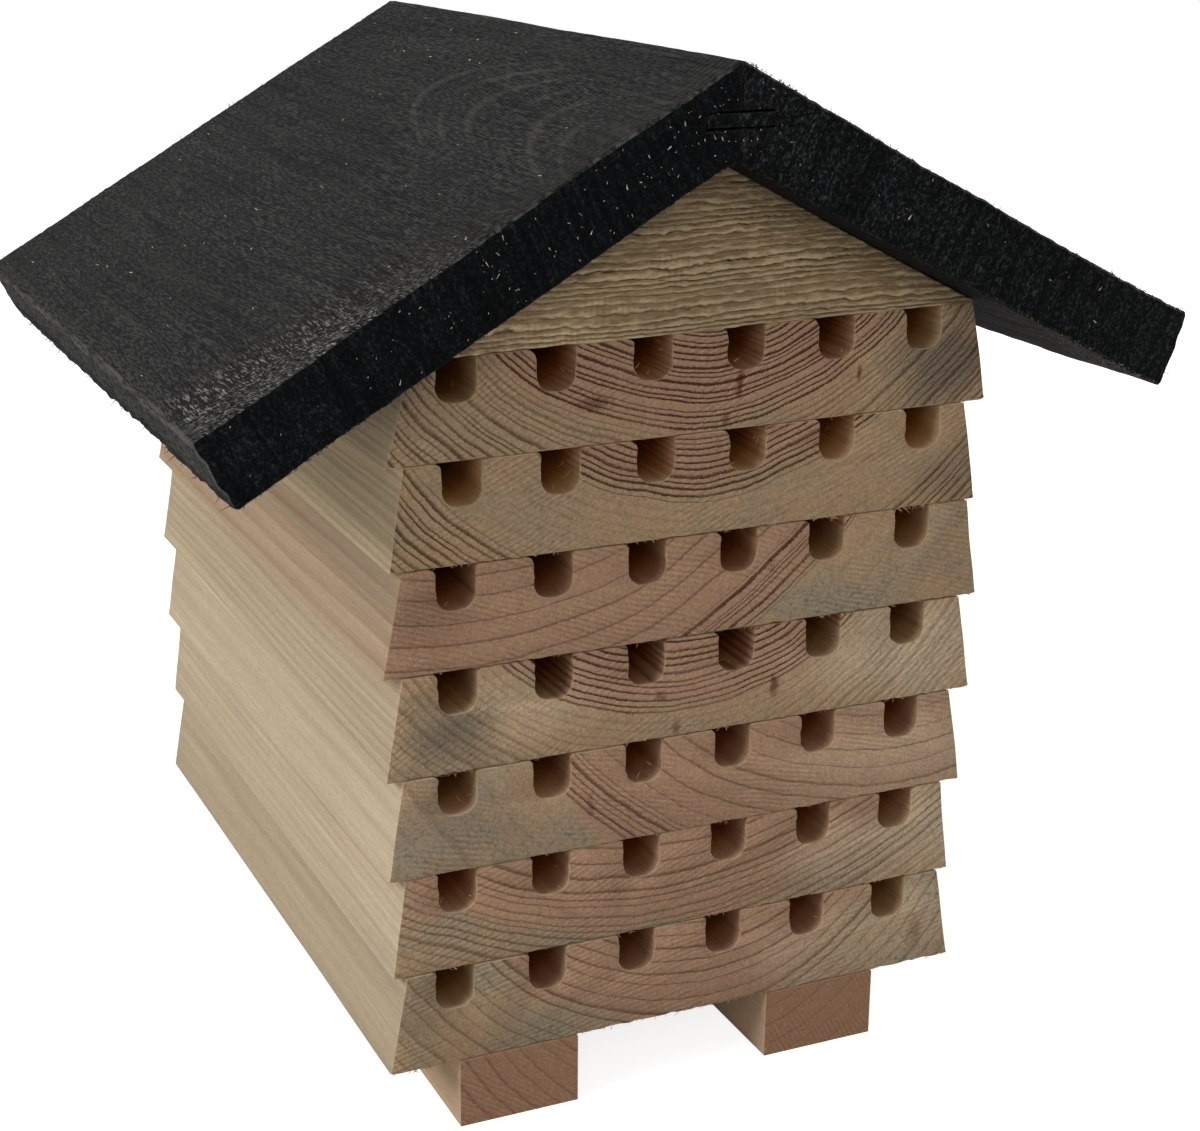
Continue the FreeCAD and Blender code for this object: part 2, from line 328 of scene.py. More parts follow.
class Graph:
    """The node graph of a material or the world, built one call at a time."""

    def __init__(self, owner):
        owner.use_nodes = True
        self.owner = owner
        self.tree = owner.node_tree

    def set(self, socket, value):
        if isinstance(value, Value):
            self.tree.links.new(value.socket, socket)
        else:
            socket.default_value = value

    def node(self, kind, output, inputs=(), **settings):
        """An output of a new node, given its inputs as (name or number, value)."""
        made = self.tree.nodes.new(kind)
        for name, value in settings.items():
            setattr(made, name, value)
        for name, value in inputs:
            self.set(made.inputs[name], value)
        return Value(self, made.outputs[output])

    def math(self, operation, *values, clamp=False):
        return self.node("ShaderNodeMath", 0, enumerate(values), operation=operation, use_clamp=clamp)

    def vector(self, operation, *values):
        output = 1 if operation in ("DOT_PRODUCT", "LENGTH") else 0
        return self.node("ShaderNodeVectorMath", output, enumerate(values), operation=operation)

    def split(self, value):
        first = self.node("ShaderNodeSeparateXYZ", 0, [(0, value)])
        return [Value(self, socket) for socket in first.socket.node.outputs]

    def combine(self, *values):
        return self.node("ShaderNodeCombineXYZ", 0, enumerate(values))


class Surface(Graph):
    """A material with its shader, laid out in the object's own millimetres."""

    def __init__(self, name):
        super().__init__(bpy.data.materials.new(name))
        self.shader = self.tree.nodes["Principled BSDF"]
        place = self.node("ShaderNodeTexCoord", "Object")
        self.place = self.vector("MULTIPLY", place, (1 / MM, 1 / MM, 1 / MM))

    def noise(self, sizes, detail, seed, place=None, roughness=0.5, output="Fac"):
        """Noise from 0 to 1 with features of the given sizes in millimetres."""
        where = self.vector("MULTIPLY", place or self.place, tuple(1 / size for size in sizes))
        inputs = {"Vector": where, "W": seed, "Scale": 1.0, "Detail": detail, "Roughness": roughness}
        return self.node("ShaderNodeTexNoise", output, inputs.items(), noise_dimensions="4D")

    def stir(self, place, reach, sizes, detail, seed, source=None):
        """The place moved about by noise of the given sizes, by up to half of reach each way."""
        found = self.noise(sizes, detail, seed, source, output="Color")
        centred = self.vector("SUBTRACT", found, (0.5, 0.5, 0.5))
        return self.vector("ADD", place, self.vector("MULTIPLY", centred, reach))

    def ramp(self, value, low, high, start=0.0, end=1.0, kind="SMOOTHSTEP"):
        inputs = [("Value", value), ("From Min", low), ("From Max", high), ("To Min", start), ("To Max", end)]
        return self.node("ShaderNodeMapRange", "Result", inputs, interpolation_type=kind)

    def line(self, value, low, high, start=0.0, end=1.0):
        return self.ramp(value, low, high, start, end, "LINEAR")

    def mix(self, share, first, second, blend="MIX"):
        inputs = ((0, share), (6, first), (7, second))
        return self.node("ShaderNodeMix", 2, inputs, data_type="RGBA", blend_type=blend)

    def attribute(self, name):
        return self.node("ShaderNodeAttribute", "Fac", attribute_name=name)

    def shade(self, base, *tones):
        """Darkens and lightens the base by each (value, amount) as the value goes from 0 to 1."""
        for value, amount in tones:
            base = self.mix(1.0, base, self.line(value, 0, 1, 1 - amount, 1 + amount), "MULTIPLY")
        return base

    def layers(self, base, *layers):
        """Lays each (share, colour as written in a picture) over the base."""
        for share, tint in layers:
            base = self.mix(share, base, colour(*tint))
        return base

    def end_on(self):
        """How squarely a face looks along Y, from 0 to 1."""
        return self.math("ABSOLUTE", self.split(self.node("ShaderNodeNewGeometry", "True Normal"))[1])

    def finish(self, base, roughness, height, depth, specular):
        """Sets the shader: base colour, roughness, bump height and its depth in millimetres, gloss level."""
        bump = [("Strength", 1.0), ("Distance", depth * MM), ("Height", height)]
        for name, value in (("Base Color", base), ("Roughness", roughness), ("Specular IOR Level", specular),
                            ("Normal", self.node("ShaderNodeBump", "Normal", bump))):
            self.set(self.shader.inputs[name], value)
        return self.owner


# Wood that shows its rings on cut ends and its streaks along the length

END_SAP = colour(182, 152, 118)
END_SAP_LATE = colour(74, 48, 29)
END_HEART = colour(178, 142, 114)
END_HEART_LATE = colour(72, 40, 29)
SIDE_SAP = colour(207, 188, 158)
SIDE_SAP_LATE = colour(158, 136, 106)
SIDE_HEART = colour(202, 179, 151)
SIDE_HEART_LATE = colour(154, 116, 92)
GREY_STAIN = colour(156, 145, 125)
BLUE_STAIN = colour(104, 100, 90)
SIDE_STAIN = colour(160, 153, 136)
# Pale spots: partly a paler tone of the wood, partly painted light
PALE_TONE_AND_LIGHT = colour(214, 190, 158)
GRAIN_DOT = colour(104, 90, 70)
RESIN = colour(150, 96, 82)
# Painted shade inside the channels, as a brown tint
BORE_SHADE_SAP = colour(186, 138, 82)
BORE_SHADE_HEART = colour(186, 124, 76)
# Pale wear with a painted highlight, on worn rims
WORN_EDGE_HIGHLIGHT = colour(216, 192, 154)
REDDISH_END = colour(136, 96, 69)
REDDISH_SIDE = colour(212, 172, 136)
# How far the years' spacing drifts, over which distance, and how ragged a latewood line's edge is
YEAR_DRIFT = 1.0
YEAR_DRIFT_SIZE = 3.4
FRAY = 0.2
LINE_EDGE = 0.08
# A latewood line's width, as a share of the year and at most
LATE_SHARE = 0.55
LATE_WIDEST = 0.85
SAW_PITCH = 1.1
HEART_DRIFT = 9
HEART_EDGE = 3


def growth_rings(graph, warped, pith, zones, seed):
    """Latewood lines round a pith at (x, z), sharp and soft, from 0 to 1, and the distance from the pith."""
    x, _, z = graph.split(warped)
    across = x - pith[0]
    above = z - pith[1]
    radius = graph.math("SQRT", across * across + above * above)
    inputs = [("W", radius * (1 / YEAR_DRIFT_SIZE) + seed), ("Scale", 1.0), ("Detail", 1.0)]
    uneven = graph.node("ShaderNodeTexNoise", 0, inputs, noise_dimensions="1D")
    grown = radius + graph.line(uneven, 0, 1, -YEAR_DRIFT, YEAR_DRIFT)

    turns = 0.0
    strength = last_level = zones[0][3]
    spacing = last_width = (zones[0][1] - zones[0][0]) / zones[0][2]
    for start, end, count, level in zones:
        turns += graph.line(grown, start, end, 0.0, count)
        width = (end - start) / count
        if level != last_level:
            strength += graph.ramp(grown, start - 1.5, start + 1.5, 0.0, level - last_level)
            spacing += graph.ramp(grown, start - 0.2, start + 0.2, 0.0, width - last_width)
        last_level = level
        last_width = width

    share = graph.math("FRACT", turns)
    fray = graph.noise((0.36, 6, 0.36), 3, seed + 17)
    to_edge = (1.0 - share) * spacing + graph.line(fray, 0.2, 0.8, -FRAY, FRAY)
    year = [("W", graph.math("FLOOR", turns) + 31.7 * seed)]
    luck = graph.node("ShaderNodeTexWhiteNoise", "Value", year, noise_dimensions="1D")
    widest = graph.math("MINIMUM", spacing * LATE_SHARE, LATE_WIDEST) * graph.line(luck, 0, 1, 0.65, 1.1)
    sharp = graph.ramp(to_edge, 0, LINE_EDGE) * graph.ramp(to_edge, widest * 0.4, widest, 1.0, 0.0)
    flank = graph.ramp(share, 0.25, 1.0) * graph.ramp(to_edge, 0, LINE_EDGE, 0.0, 0.2)
    late = graph.math("MAXIMUM", sharp, flank) * graph.ramp(fray, 0.3, 0.6, 0.78, 1.0)
    faded = graph.ramp(graph.noise((16, 60, 16), 3, seed + 9), 0.3, 0.55, 0.7, 1.0)
    weight = graph.line(luck, 0, 1, 0.75, 1.0) * (faded * strength)
    broad = graph.ramp(share, 0.3, 0.85) * graph.ramp(share, 1.0, 0.9)
    sharp_line, soft_line = (graph.math("MULTIPLY", lines, weight, clamp=True) for lines in (late, broad))
    return sharp_line, soft_line, radius


def spots(graph, place, found, base, tint, blend="MIX"):
    """Tints the base near the front at each of (x, z, half width, half height, strength)."""
    for x, z, half_width, half_height, level in found:
        offset = graph.vector("SUBTRACT", place, (x, FRONT, z))
        scaled = graph.vector("MULTIPLY", offset, (1 / half_width, 0.03, 1 / half_height))
        base = graph.mix(graph.ramp(graph.vector("LENGTH", scaled), 1.0, 0.2) * level, base, tint, blend)
    return base


def ring_wood(name, pith, zones, heart, seed, stains=(), pale_and_lit_spots=(), marks=(), saw_angle=-20.0, grey=0.5,
              redden=0.0, side_shade=None, side_level=0.4):
    """Softwood whose grain runs along Y, with rings round a pith at (x, z).

    zones are (from radius, to radius, number of rings, strength); heart is the reddish heartwood's radius.
    The three lists of spots, each at (x, z, half width, half height, strength) near the front, are grey-blue
    stains, pale spots that are partly a paler tone and partly painted light, and resin marks.
    """
    graph = Surface(name)
    warped = graph.stir(graph.place, (7, 7, 7), (45, 160, 45), 2, seed)
    warped = graph.stir(warped, (0.9, 0.9, 0.9), (6, 70, 6), 2, seed + 4)
    line, soft_line, radius = growth_rings(graph, warped, pith, zones, seed)
    edge_drift = graph.line(graph.noise((18, 80, 18), 3, seed + 2), 0, 1, -HEART_DRIFT, HEART_DRIFT)
    hearted = graph.ramp(radius + edge_drift, heart - HEART_EDGE, heart + HEART_EDGE, 1.0, 0.0)
    speck = graph.noise((0.42, 2.5, 0.42), 2, seed + 1)
    pore = graph.noise((0.9, 6.0, 0.9), 3, seed + 5)
    fibre = graph.noise((0.55, 45, 0.55), 3, seed + 7)
    streak = graph.noise((3.2, 140, 3.2), 3, seed + 11)
    broad = graph.noise((9, 220, 9), 2, seed + 16)

    # Cut ends: ground, stains, rings, resin and saw marks
    cloud = graph.ramp(graph.noise((22, 40, 14), 4, seed + 6), 0.38, 0.68)
    greyness = (1.0 - hearted) * cloud * grey
    end = graph.mix(greyness, graph.mix(hearted, END_SAP, END_HEART), GREY_STAIN)
    spotted = graph.stir(warped, (14, 14, 14), (9, 60, 9), 3, seed + 13)
    # Pale spots, a paler tone; towards the right of trays 1 to 4 they are painted light
    end = spots(graph, spotted, pale_and_lit_spots, end, PALE_TONE_AND_LIGHT)
    end = spots(graph, spotted, stains, end, BLUE_STAIN)
    end = graph.mix(graph.ramp(pore, 0.46, 0.3, 0.0, 0.5) * greyness, end, GRAIN_DOT)
    end = graph.mix(line * 0.96, end, graph.mix(hearted, END_SAP_LATE, END_HEART_LATE))
    smeared = graph.stir(warped, (3, 3, 3), (2, 20, 3), 2, seed + 14)
    end = spots(graph, smeared, marks, end, RESIN, "MULTIPLY")
    turn = math.radians(saw_angle)
    saw_line = graph.vector("DOT_PRODUCT", warped, (math.sin(turn), 0, math.cos(turn)))
    scatter = graph.line(graph.noise((9, 9, 9), 2, seed + 3), 0, 1, -2.5, 2.5)
    patch = graph.ramp(graph.noise((14, 14, 9), 2, seed + 8), 0.42, 0.62, 0.15, 1.0)
    saw = graph.math("SINE", saw_line * (FULL_TURN / SAW_PITCH) + scatter) * patch
    end = graph.shade(end, (speck, 0.5), (pore, 0.36), (graph.line(saw, -1, 1), 0.14))

    # Long faces: ground, rings as streaks, fibres and grey streaks; the channels inside are darkened with
    # painted shade
    stained = graph.ramp(graph.noise((7, 110, 7), 3, seed + 15), 0.52, 0.7, 0.0, 0.3)
    side = graph.mix(stained * grey, graph.mix(hearted, SIDE_SAP, SIDE_HEART), SIDE_STAIN)
    streaked = graph.math("MAXIMUM", line * 0.6, soft_line) * side_level
    side = graph.mix(streaked, side, graph.mix(hearted, SIDE_SAP_LATE, SIDE_HEART_LATE))
    side = graph.shade(side, (fibre, 0.2), (speck, 0.2), (streak, 0.22), (broad, 0.28))
    # side_shade multiplies the long faces' colour: below 1 a darker tone, above 1 painted light
    if side_shade:
        side = graph.mix(1.0, side, side_shade, "MULTIPLY")
    # Painted shade inside the channels: a brown tint that deepens behind the mouth
    side = graph.mix(graph.attribute("bore"), side, graph.mix(hearted, BORE_SHADE_SAP, BORE_SHADE_HEART), "MULTIPLY")
    if redden:
        end = graph.mix(redden, end, REDDISH_END)
        side = graph.mix(redden, side, REDDISH_SIDE)

    cut_end = graph.ramp(graph.end_on(), 0.5, 0.85)
    base = graph.mix(cut_end, side, end)
    # Pale wear and painted highlight on the rims
    base = graph.mix(graph.attribute("worn") * 0.45, base, WORN_EDGE_HIGHLIGHT)
    end_height = line * 0.5 + saw * 0.22 + speck * 0.9
    side_height = line * 0.35 + fibre * 0.8
    height = side_height + cut_end * (end_height - side_height)
    return graph.finish(base, graph.line(line, 0, 1, 0.78, 0.6), height, 0.16, 0.1)


# How the photographed stack leans: a tray's top drops towards the left, and the roof sinks towards the back

LEFT_DROP = {6: 0.8, 7: 1.9}
STACK_HALF_WIDTH = 61.0
ROOF_SINK = 3.0
ROOF_FRONT = node_box("roof_board_left")[0][1]
ROOF_BACK = node_box("roof_board_left")[1][1]


def left_drop(k, x):
    """How far tray k's top lies below its level at x."""
    return LEFT_DROP.get(k, 0.0) * (STACK_HALF_WIDTH - x) / (2 * STACK_HALF_WIDTH)


def roof_sink(y):
    """How far the roof lies below its level at y."""
    return ROOF_SINK * (y - ROOF_FRONT) / (ROOF_BACK - ROOF_FRONT)


# The trays

FRONT = node_box("tray_1")[0][1]
TRAY_COUNT = 7
CHANNEL_COUNT = 6
CHANNEL_PITCH = 20.0
CHANNEL_RADIUS = 4.0
CHANNEL_DEPTH = 8.6
CHANNEL_END_WALL = 16.0
CHANNEL_ROUND = 3.1
# Where the channels' brown painted shade sets in and fades out, as distances from the front, and by how much
# it fades
BORE_SHADE_FROM = -10.0
BORE_SHADE_TO = 11.0
BORE_SHADE_FADE_FROM = 20.0
BORE_SHADE_FADE_TO = 48.0
BORE_SHADE_FADING = 0.7
# Below this depth a channel's rim gets full wear and painted highlight; elsewhere the edges get only a little
LIP_DEPTH = 3.0
PLAIN_WEAR_AND_HIGHLIGHT = 0.13
LEFT_LIP = (0.8, 0.8, 0.8, 0.9, 1.2, 1.2, 1.4)
RIGHT_LIP = 0.5
ARRIS = 0.3
# The rounded front and back rims: distance from the face, inset and amount of wear and painted highlight
TRAY_RIM = ((0.0, 0.2, 1), (0.08, 0.07, 1), (0.25, 0, 0.6))
TRAY_STEP = 1.4
SIDE_FROM = 57
DOWEL_SOCKET = 3.15
DOWEL_HOLE = 3.3
DOWEL_HOLE_DEPTH = 8.0
DRILL_EXTRA = 5

# Each tray as sawn: left and right edge at the underside, then at the top, and the channels' shift
TRAY_EDGES = {
    1: (-65.6, 64.4, -62.0, 60.4, -1.8),
    2: (-64.6, 63.0, -61.8, 60.2, -1.0),
    3: (-65.3, 64.6, -61.9, 61.0, -0.8),
    4: (-65.3, 65.7, -61.7, 62.0, -0.5),
    5: (-65.6, 66.0, -61.4, 62.6, -0.6),
    6: (-63.7, 64.3, -60.7, 60.6, 0.9),
    7: (-64.2, 65.4, -58.4, 61.4, 0.0),
}

# Each tray's wood, as ring_wood takes it
TRAY_WOOD = {
    # Towards the right of trays 1 to 4 the pale spots are painted light; the others are a paler tone
    1: {"pith": (3, 70), "heart": 56, "saw_angle": -12, "grey": 0.75, "side_shade": (0.87, 0.86, 0.84, 1),
        "zones": [(30, 58, 10, 0.8), (58, 88, 10, 0.5)],
        "pale_and_lit_spots": [(54, 26, 26, 14, 0.5), (28, 24, 20, 12, 0.4)],
        "stains": [(-40, 20, 18, 10, 0.15), (-56, 29, 14, 12, 0.4)], "marks": [(55, 23, 3, 5, 0.4)]},
    2: {"pith": (-2, 150), "heart": 113, "saw_angle": -22, "grey": 0.8,
        "zones": [(86, 104, 6, 0.75), (104, 120, 9, 0.7), (120, 140, 9, 0.4)],
        "pale_and_lit_spots": [(60, 46, 34, 16, 0.8), (34, 46, 20, 12, 0.5)], "stains": [(-57, 46, 14, 12, 0.15)]},
    3: {"pith": (48, 135), "heart": 101, "saw_angle": 14, "grey": 0.8,
        "zones": [(52, 92, 10, 0.6), (92, 100, 6, 0.95), (100, 140, 7, 0.22)],
        "pale_and_lit_spots": [(52, 66, 46, 16, 0.5)], "stains": [(-50, 68, 22, 14, 0.35)],
        "marks": [(-22, 66, 1.5, 4, 0.4)]},
    4: {"pith": (-3, 143), "heart": 60, "saw_angle": -30, "grey": 0.35, "side_level": 0.9,
        "side_shade": (0.88, 0.87, 0.85, 1),
        "zones": [(40, 60, 14, 1.3), (60, 67, 4, 0.28), (67, 100, 20, 0.42)],
        "pale_and_lit_spots": [(54, 88, 40, 16, 0.8), (-36, 88, 18, 12, 0.4)], "stains": [(-52, 87, 15, 10, 0.65)],
        "marks": [(18, 86, 1.6, 4, 0.8), (-8, 87, 2, 2.4, 0.5), (-5, 80, 1.6, 2, 0.5)]},
    5: {"pith": (-48, 188), "heart": 108, "saw_angle": 18, "grey": 0.9, "side_level": 0.7,
        "side_shade": (0.84, 0.8, 0.75, 1),
        "zones": [(62, 99, 8, 0.6), (99, 108, 7, 1.0), (108, 150, 7, 0.14)],
        "stains": [(-60, 110, 16, 10, 0.25)], "marks": [(17, 111, 1.5, 2, 0.4), (-56, 109, 17, 13, 0.25)]},
    # Tray 6's long faces are lifted above the wood's colour: painted light against the roof's shadow
    6: {"pith": (3, 185), "heart": 55, "saw_angle": -25, "grey": 0.35, "side_level": 0.5,
        "side_shade": (1.2, 1.17, 1.08, 1),
        "zones": [(40, 58, 14, 1.3), (58, 76, 9, 0.22), (76, 100, 15, 1.0)],
        "stains": [(58, 126, 14, 10, 0.4)]},
    # Tray 7's long faces are lifted above the wood's colour: painted light against the roof's shadow
    7: {"pith": (2, 200), "heart": 58, "saw_angle": -28, "grey": 0.3, "side_shade": (1.15, 1.13, 1.06, 1),
        "zones": [(34, 59, 20, 1.5), (59, 67, 6, 0.6), (67, 100, 22, 0.95)],
        "stains": [(57, 150, 16, 12, 0.7)],
        "marks": [(-22, 148, 5, 2.4, 0.6), (8, 150, 1.2, 5, 0.8), (5, 142.5, 1.8, 1.5, 0.6),
                  (36, 149, 0.8, 2, 0.8)]},
}

# Each foot's wood: side, pith, rings, seed, how reddish it is and the angle of its saw marks
FEET = (("left", (8, 46), (20, 100, 22, 0.5), 91, 0.35, 35),
        ("right", (2, 60), (20, 100, 20, 0.35), 97, 0.45, 60))
FOOT_HEART = 200

# Fibres along each tray's lower front edge, and where it is torn most: from x, to x and number of fibres
EDGE_FIBRES = 90
TORN_STRETCHES = {6: (30, 62, 90), 7: (-30, -12, 16), 4: (-62, -50, 14), 1: (-66, -50, 16)}
TORN_LENGTH = 1.7
# Channels, as tray and channel from the left, with a long splinter in the mouth
SPLINTERED = ((7, 0), (7, 2), (6, 1), (6, 3), (6, 4), (4, 4), (1, 0))


def channel_middle(k, channel):
    return (channel - (CHANNEL_COUNT - 1) / 2) * CHANNEL_PITCH + TRAY_EDGES[k][4]


def tray_outline(k, low, high, lips):
    """Tray k's section with its round-bottomed channels, and which of its points are inside one."""
    left_base, right_base, left_top, right_top, _ = TRAY_EDGES[k]
    corners = [(x, low - left_drop(k - 1, x), ARRIS) for x in (left_base, right_base)]
    corners.append((right_top, high - left_drop(k, right_top), ARRIS))
    spans = []
    for channel in reversed(range(CHANNEL_COUNT)):
        left = channel_middle(k, channel) - CHANNEL_RADIUS
        right = left + 2 * CHANNEL_RADIUS
        left_lip, right_lip = lips[channel]
        right_edge = high - left_drop(k, right)
        floor = right_edge - CHANNEL_DEPTH
        corners += [(right, right_edge, right_lip), (right, floor, CHANNEL_ROUND),
                    (left, floor, CHANNEL_ROUND), (left, high - left_drop(k, left), left_lip)]
        spans.append((left - left_lip, right + right_lip))
    corners.append((left_top, high - left_drop(k, left_top), ARRIS))
    outline = outline_of(corners, TRAY_STEP)
    x, z = outline.T
    inside = np.zeros(len(outline), bool)
    for start, end in spans:
        inside |= (x > start + 1e-4) & (x < end - 1e-4) & (z > low + 1)
    return outline, inside


def make_tray(k):
    """A tray with its channels, softened edges, dowel sockets in its top and dowel holes in its underside."""
    name = f"tray_{k}"
    luck = Luck(100 + k)
    low, high = node_box(name)
    lips = []
    for _ in range(CHANNEL_COUNT):
        left_share, right_share = luck.within((0.7, 1.4), (0.8, 1.3))
        lips.append((LEFT_LIP[k - 1] * left_share, RIGHT_LIP * right_share))
    outline, inside = tray_outline(k, low[2], high[2], lips)
    lip = inside & (outline[:, 1] < high[2] - LIP_DEPTH)
    front = low[1] + luck.uniform(0.0, 0.2)
    back = high[1]
    channel_end = back - CHANNEL_END_WALL
    open_rows = [(front + y, shrink, wear) for y, shrink, wear in TRAY_RIM]
    open_rows += [(y, 0, 0) for y in (front + 1.0, *np.arange(front + 4, channel_end - 3, 6.0), channel_end)]
    shut_rows = [(channel_end + 5, 0, 0)]
    shut_rows += [(back - y, shrink, wear) for y, shrink, wear in reversed(TRAY_RIM)]

    loft = Loft()
    for y, shrink, wear in open_rows:
        # Painted shade inside the channels: it sets in behind the mouth and fades further in
        bore_shade_level = smooth_step(BORE_SHADE_FROM, BORE_SHADE_TO, y - front)
        bore_shade_level = bore_shade_level - BORE_SHADE_FADING * smooth_step(BORE_SHADE_FADE_FROM, BORE_SHADE_FADE_TO, y - front)
        loft.ring(ring_at(inset(outline, shrink), y), worn=np.where(lip, wear, PLAIN_WEAR_AND_HIGHLIGHT * wear),
                  bore=np.where(inside, bore_shade_level, 0))
    last = loft.rows[-1]
    caps = [loft.rows[0]]
    for start in np.flatnonzero(inside & ~np.roll(inside, 1)):
        end = start
        while inside[end]:
            end += 1
        caps.append(last[start - 1:end + 1][::-1])
    loft.rows.append(last[~inside])
    for y, shrink, wear in shut_rows:
        loft.ring(ring_at(inset(outline[~inside], shrink), y), worn=PLAIN_WEAR_AND_HIGHLIGHT * wear, bore=0)
    caps.append(loft.rows[-1][::-1])

    # Lean, uneven sides, a ragged lower front edge and chipped channel mouths
    points = np.array(loft.points)
    if k == TRAY_COUNT:
        share = np.clip((points[:, 2] - low[2]) / (high[2] - low[2]), 0, 1)
        points[:, 2] -= roof_sink(points[:, 1]) * share
    sides = np.abs(points[:, 0]) > SIDE_FROM
    points[:, 0] += np.where(sides, 0.22 * noise_at(points, (30, 45, 9), 3 * k), 0)
    under = points[:, 2] < low[2] + 0.6
    mouths = (points[:, 1] < front + 0.5) & ~under & ~sides
    lower_edge = under & (points[:, 1] < front + 0.6)
    ragged = np.abs(noise_at(points, (1.7, 9, 9), 5 * k))
    ragged += 0.4 * np.abs(noise_at(points, (0.7, 9, 9), 7 * k))
    points[:, 2] += np.where(lower_edge, 0.15 + 0.6 * ragged, 0)
    points[:, 0] += np.where(mouths, 0.3 * noise_at(points, (1.3, 9, 1.3), 13 * k), 0)
    points[:, 2] += np.where(mouths, 0.12 * noise_at(points, (1.1, 9, 1.1), 17 * k), 0)
    patchy = 0.35 + 0.9 * np.abs(noise_at(points, (4, 9, 4), 11 * k, 2))
    worn = np.clip(np.array(loft.values["worn"], float) * patchy, 0, 1)
    tray = add_mesh(name + "_wood", points, loft.faces, caps, {"worn": worn, "bore": loft.values["bore"]})

    places = dowel_places(k)
    socket_floor = high[2] - DOWEL_HOLE_DEPTH
    cut_away(tray, upright_rods("socket_drill", places, DOWEL_SOCKET, socket_floor, high[2] + DRILL_EXTRA))
    if k > 1:
        hole_top = low[2] + DOWEL_HOLE_DEPTH
        cut_away(tray, upright_rods("hole_drill", places, DOWEL_HOLE, low[2] - DRILL_EXTRA, hole_top))
    return tray, front


def dowel_places(k):
    """The x and y of each of a tray's two dowels, from the frame."""
    points = node_points(f"dowels_{k}")[:, :2]
    y = points[:, 1]
    at_front = y < (y.min() + y.max()) / 2
    return [(group.min(0) + group.max(0)) / 2 for group in (points[at_front], points[~at_front])]


def tray_fibres(k, front):
    """Torn fibres along the tray's lower front edge and in its channel mouths."""
    luck = Luck(500 + k)
    low, high = node_box(f"tray_{k}")
    left_base, right_base = TRAY_EDGES[k][:2]
    slivers = Slivers()
    torn_from, torn_to, torn_count = TORN_STRETCHES.get(k, (0, 0, 0))
    stretches = [(left_base + 1, right_base - 1, 1.0)] * EDGE_FIBRES
    stretches += [(torn_from, torn_to, TORN_LENGTH)] * torn_count
    for start, end, longer in stretches:
        x, behind, above = luck.within((start, end), (0.1, 0.4), (0.1, 0.5))
        direction = luck.within((-1.2, 1.2), (-0.35, 0.0), (-0.9, -0.1))
        bend = luck.within((-0.4, 0.4), 0, (-0.2, 0.3))
        length, width = luck.within((0.3, 0.9), (0.1, 0.24))
        slivers.add((x, front + behind, low[2] + above), direction, longer * length, width, bend)
    centre = high[2] - CHANNEL_DEPTH + CHANNEL_RADIUS
    for channel in range(CHANNEL_COUNT):
        middle = channel_middle(k, channel)
        for _ in range(luck.choice((0, 1, 1, 2, 5))):
            angle, behind, forward = luck.within((math.pi, FULL_TURN), (0.3, 6.0), (-0.8, 0.2))
            across, up = math.cos(angle), math.sin(angle)
            root = (middle + CHANNEL_RADIUS * across, front + behind, centre + CHANNEL_RADIUS * up)
            bend = luck.within((-0.5, 0.5), (-0.5, 0.5), (-0.4, 0.3))
            slivers.add(root, (-across, forward, -up), *luck.within((0.5, 1.8), (0.1, 0.24)), bend)
        for _ in range(2 if (k, channel) in SPLINTERED else 0):
            behind, above = luck.within((3, 12), (-1.5, 2.5))
            root = (middle + CHANNEL_RADIUS, front + behind, centre + above)
            direction = luck.within(-0.6, -0.8, (-0.2, 0.4))
            bend = luck.within((-0.6, 0.2), 0, (-0.6, 0.6))
            slivers.add(root, direction, *luck.within((2.5, 4.5), (0.2, 0.36)), bend)
    return slivers.build(f"tray_{k}_fibres")


# The roof boards, with their grain along the ridge

RIDGE_SOFTNESS = 0.5
EAVE_SOFTNESS = 0.9
SLOT_GAP = 0.35
SLOT_EXTRA = 0.05
END_SETBACK = 0.5
BOARD_STEP = 0.7
# The rounded ends: distance from the end, inset and amount of wear and painted highlight
BOARD_RIM = ((0.0, 0.5, 1.0), (0.2, 0.18, 0.9), (0.5, 0.0, 0.5))
# How far each eave stands from the true slope, and how much further out its lower edge is
EAVE_LIFT = {"left": -3.4, "right": 2.4}
LIFT_CURVE = {"left": 1.1, "right": 3.0}
EAVE_FLARE = {"left": 0.0, "right": 2.4}
# How far the underside hangs at the ridge, and how far down the slope that fades out
UNDER_SAG = 1.25
SAG_REACH = {"left": 20.0, "right": 85.0}
# The middle of the arched grain on each board, as distance from the ridge and y of the outermost tip
ARCH_MIDDLE = {"left": 27.0, "right": 74.0}
ARCH_TIP = {"left": 6.7, "right": 30.0}
ARCH_CURVE = 0.137
ARCH_SPACING = 16.0
FIBRE_RISE = 0.17
LUMP_RISE = 0.3
ROOF_SEED = {"left": 3, "right": 8}
BRAD_COVER = 1.5
ROOF_SAW_PITCH = 1.9
# How much further the wear on the top reaches from the front end towards the eave
CORNER_WEAR = 0.15
END_FLECK = {"left": (44, 47, 48), "right": (66, 68, 67)}
# Flakes on each board's top, its front end and round the ridge, and their lengths on the front end
FLAKE_COUNTS = {"left": (60, 110, 8), "right": (50, 24, 12)}
FLAKE_LENGTHS = (0.2, 0.25, 0.3, 0.35, 0.45, 0.65, 1.1)
RIDGE_FLAKE_REACH = 16
HAIR_COUNT = 80
EDGE_HAIR_COUNT = 200
# Where flakes and fibres stand along Y: anywhere on the top, or close to its two ends
TOP_REACH = (-93, 93)
TOP_ENDS = (-93.8, 93.8)


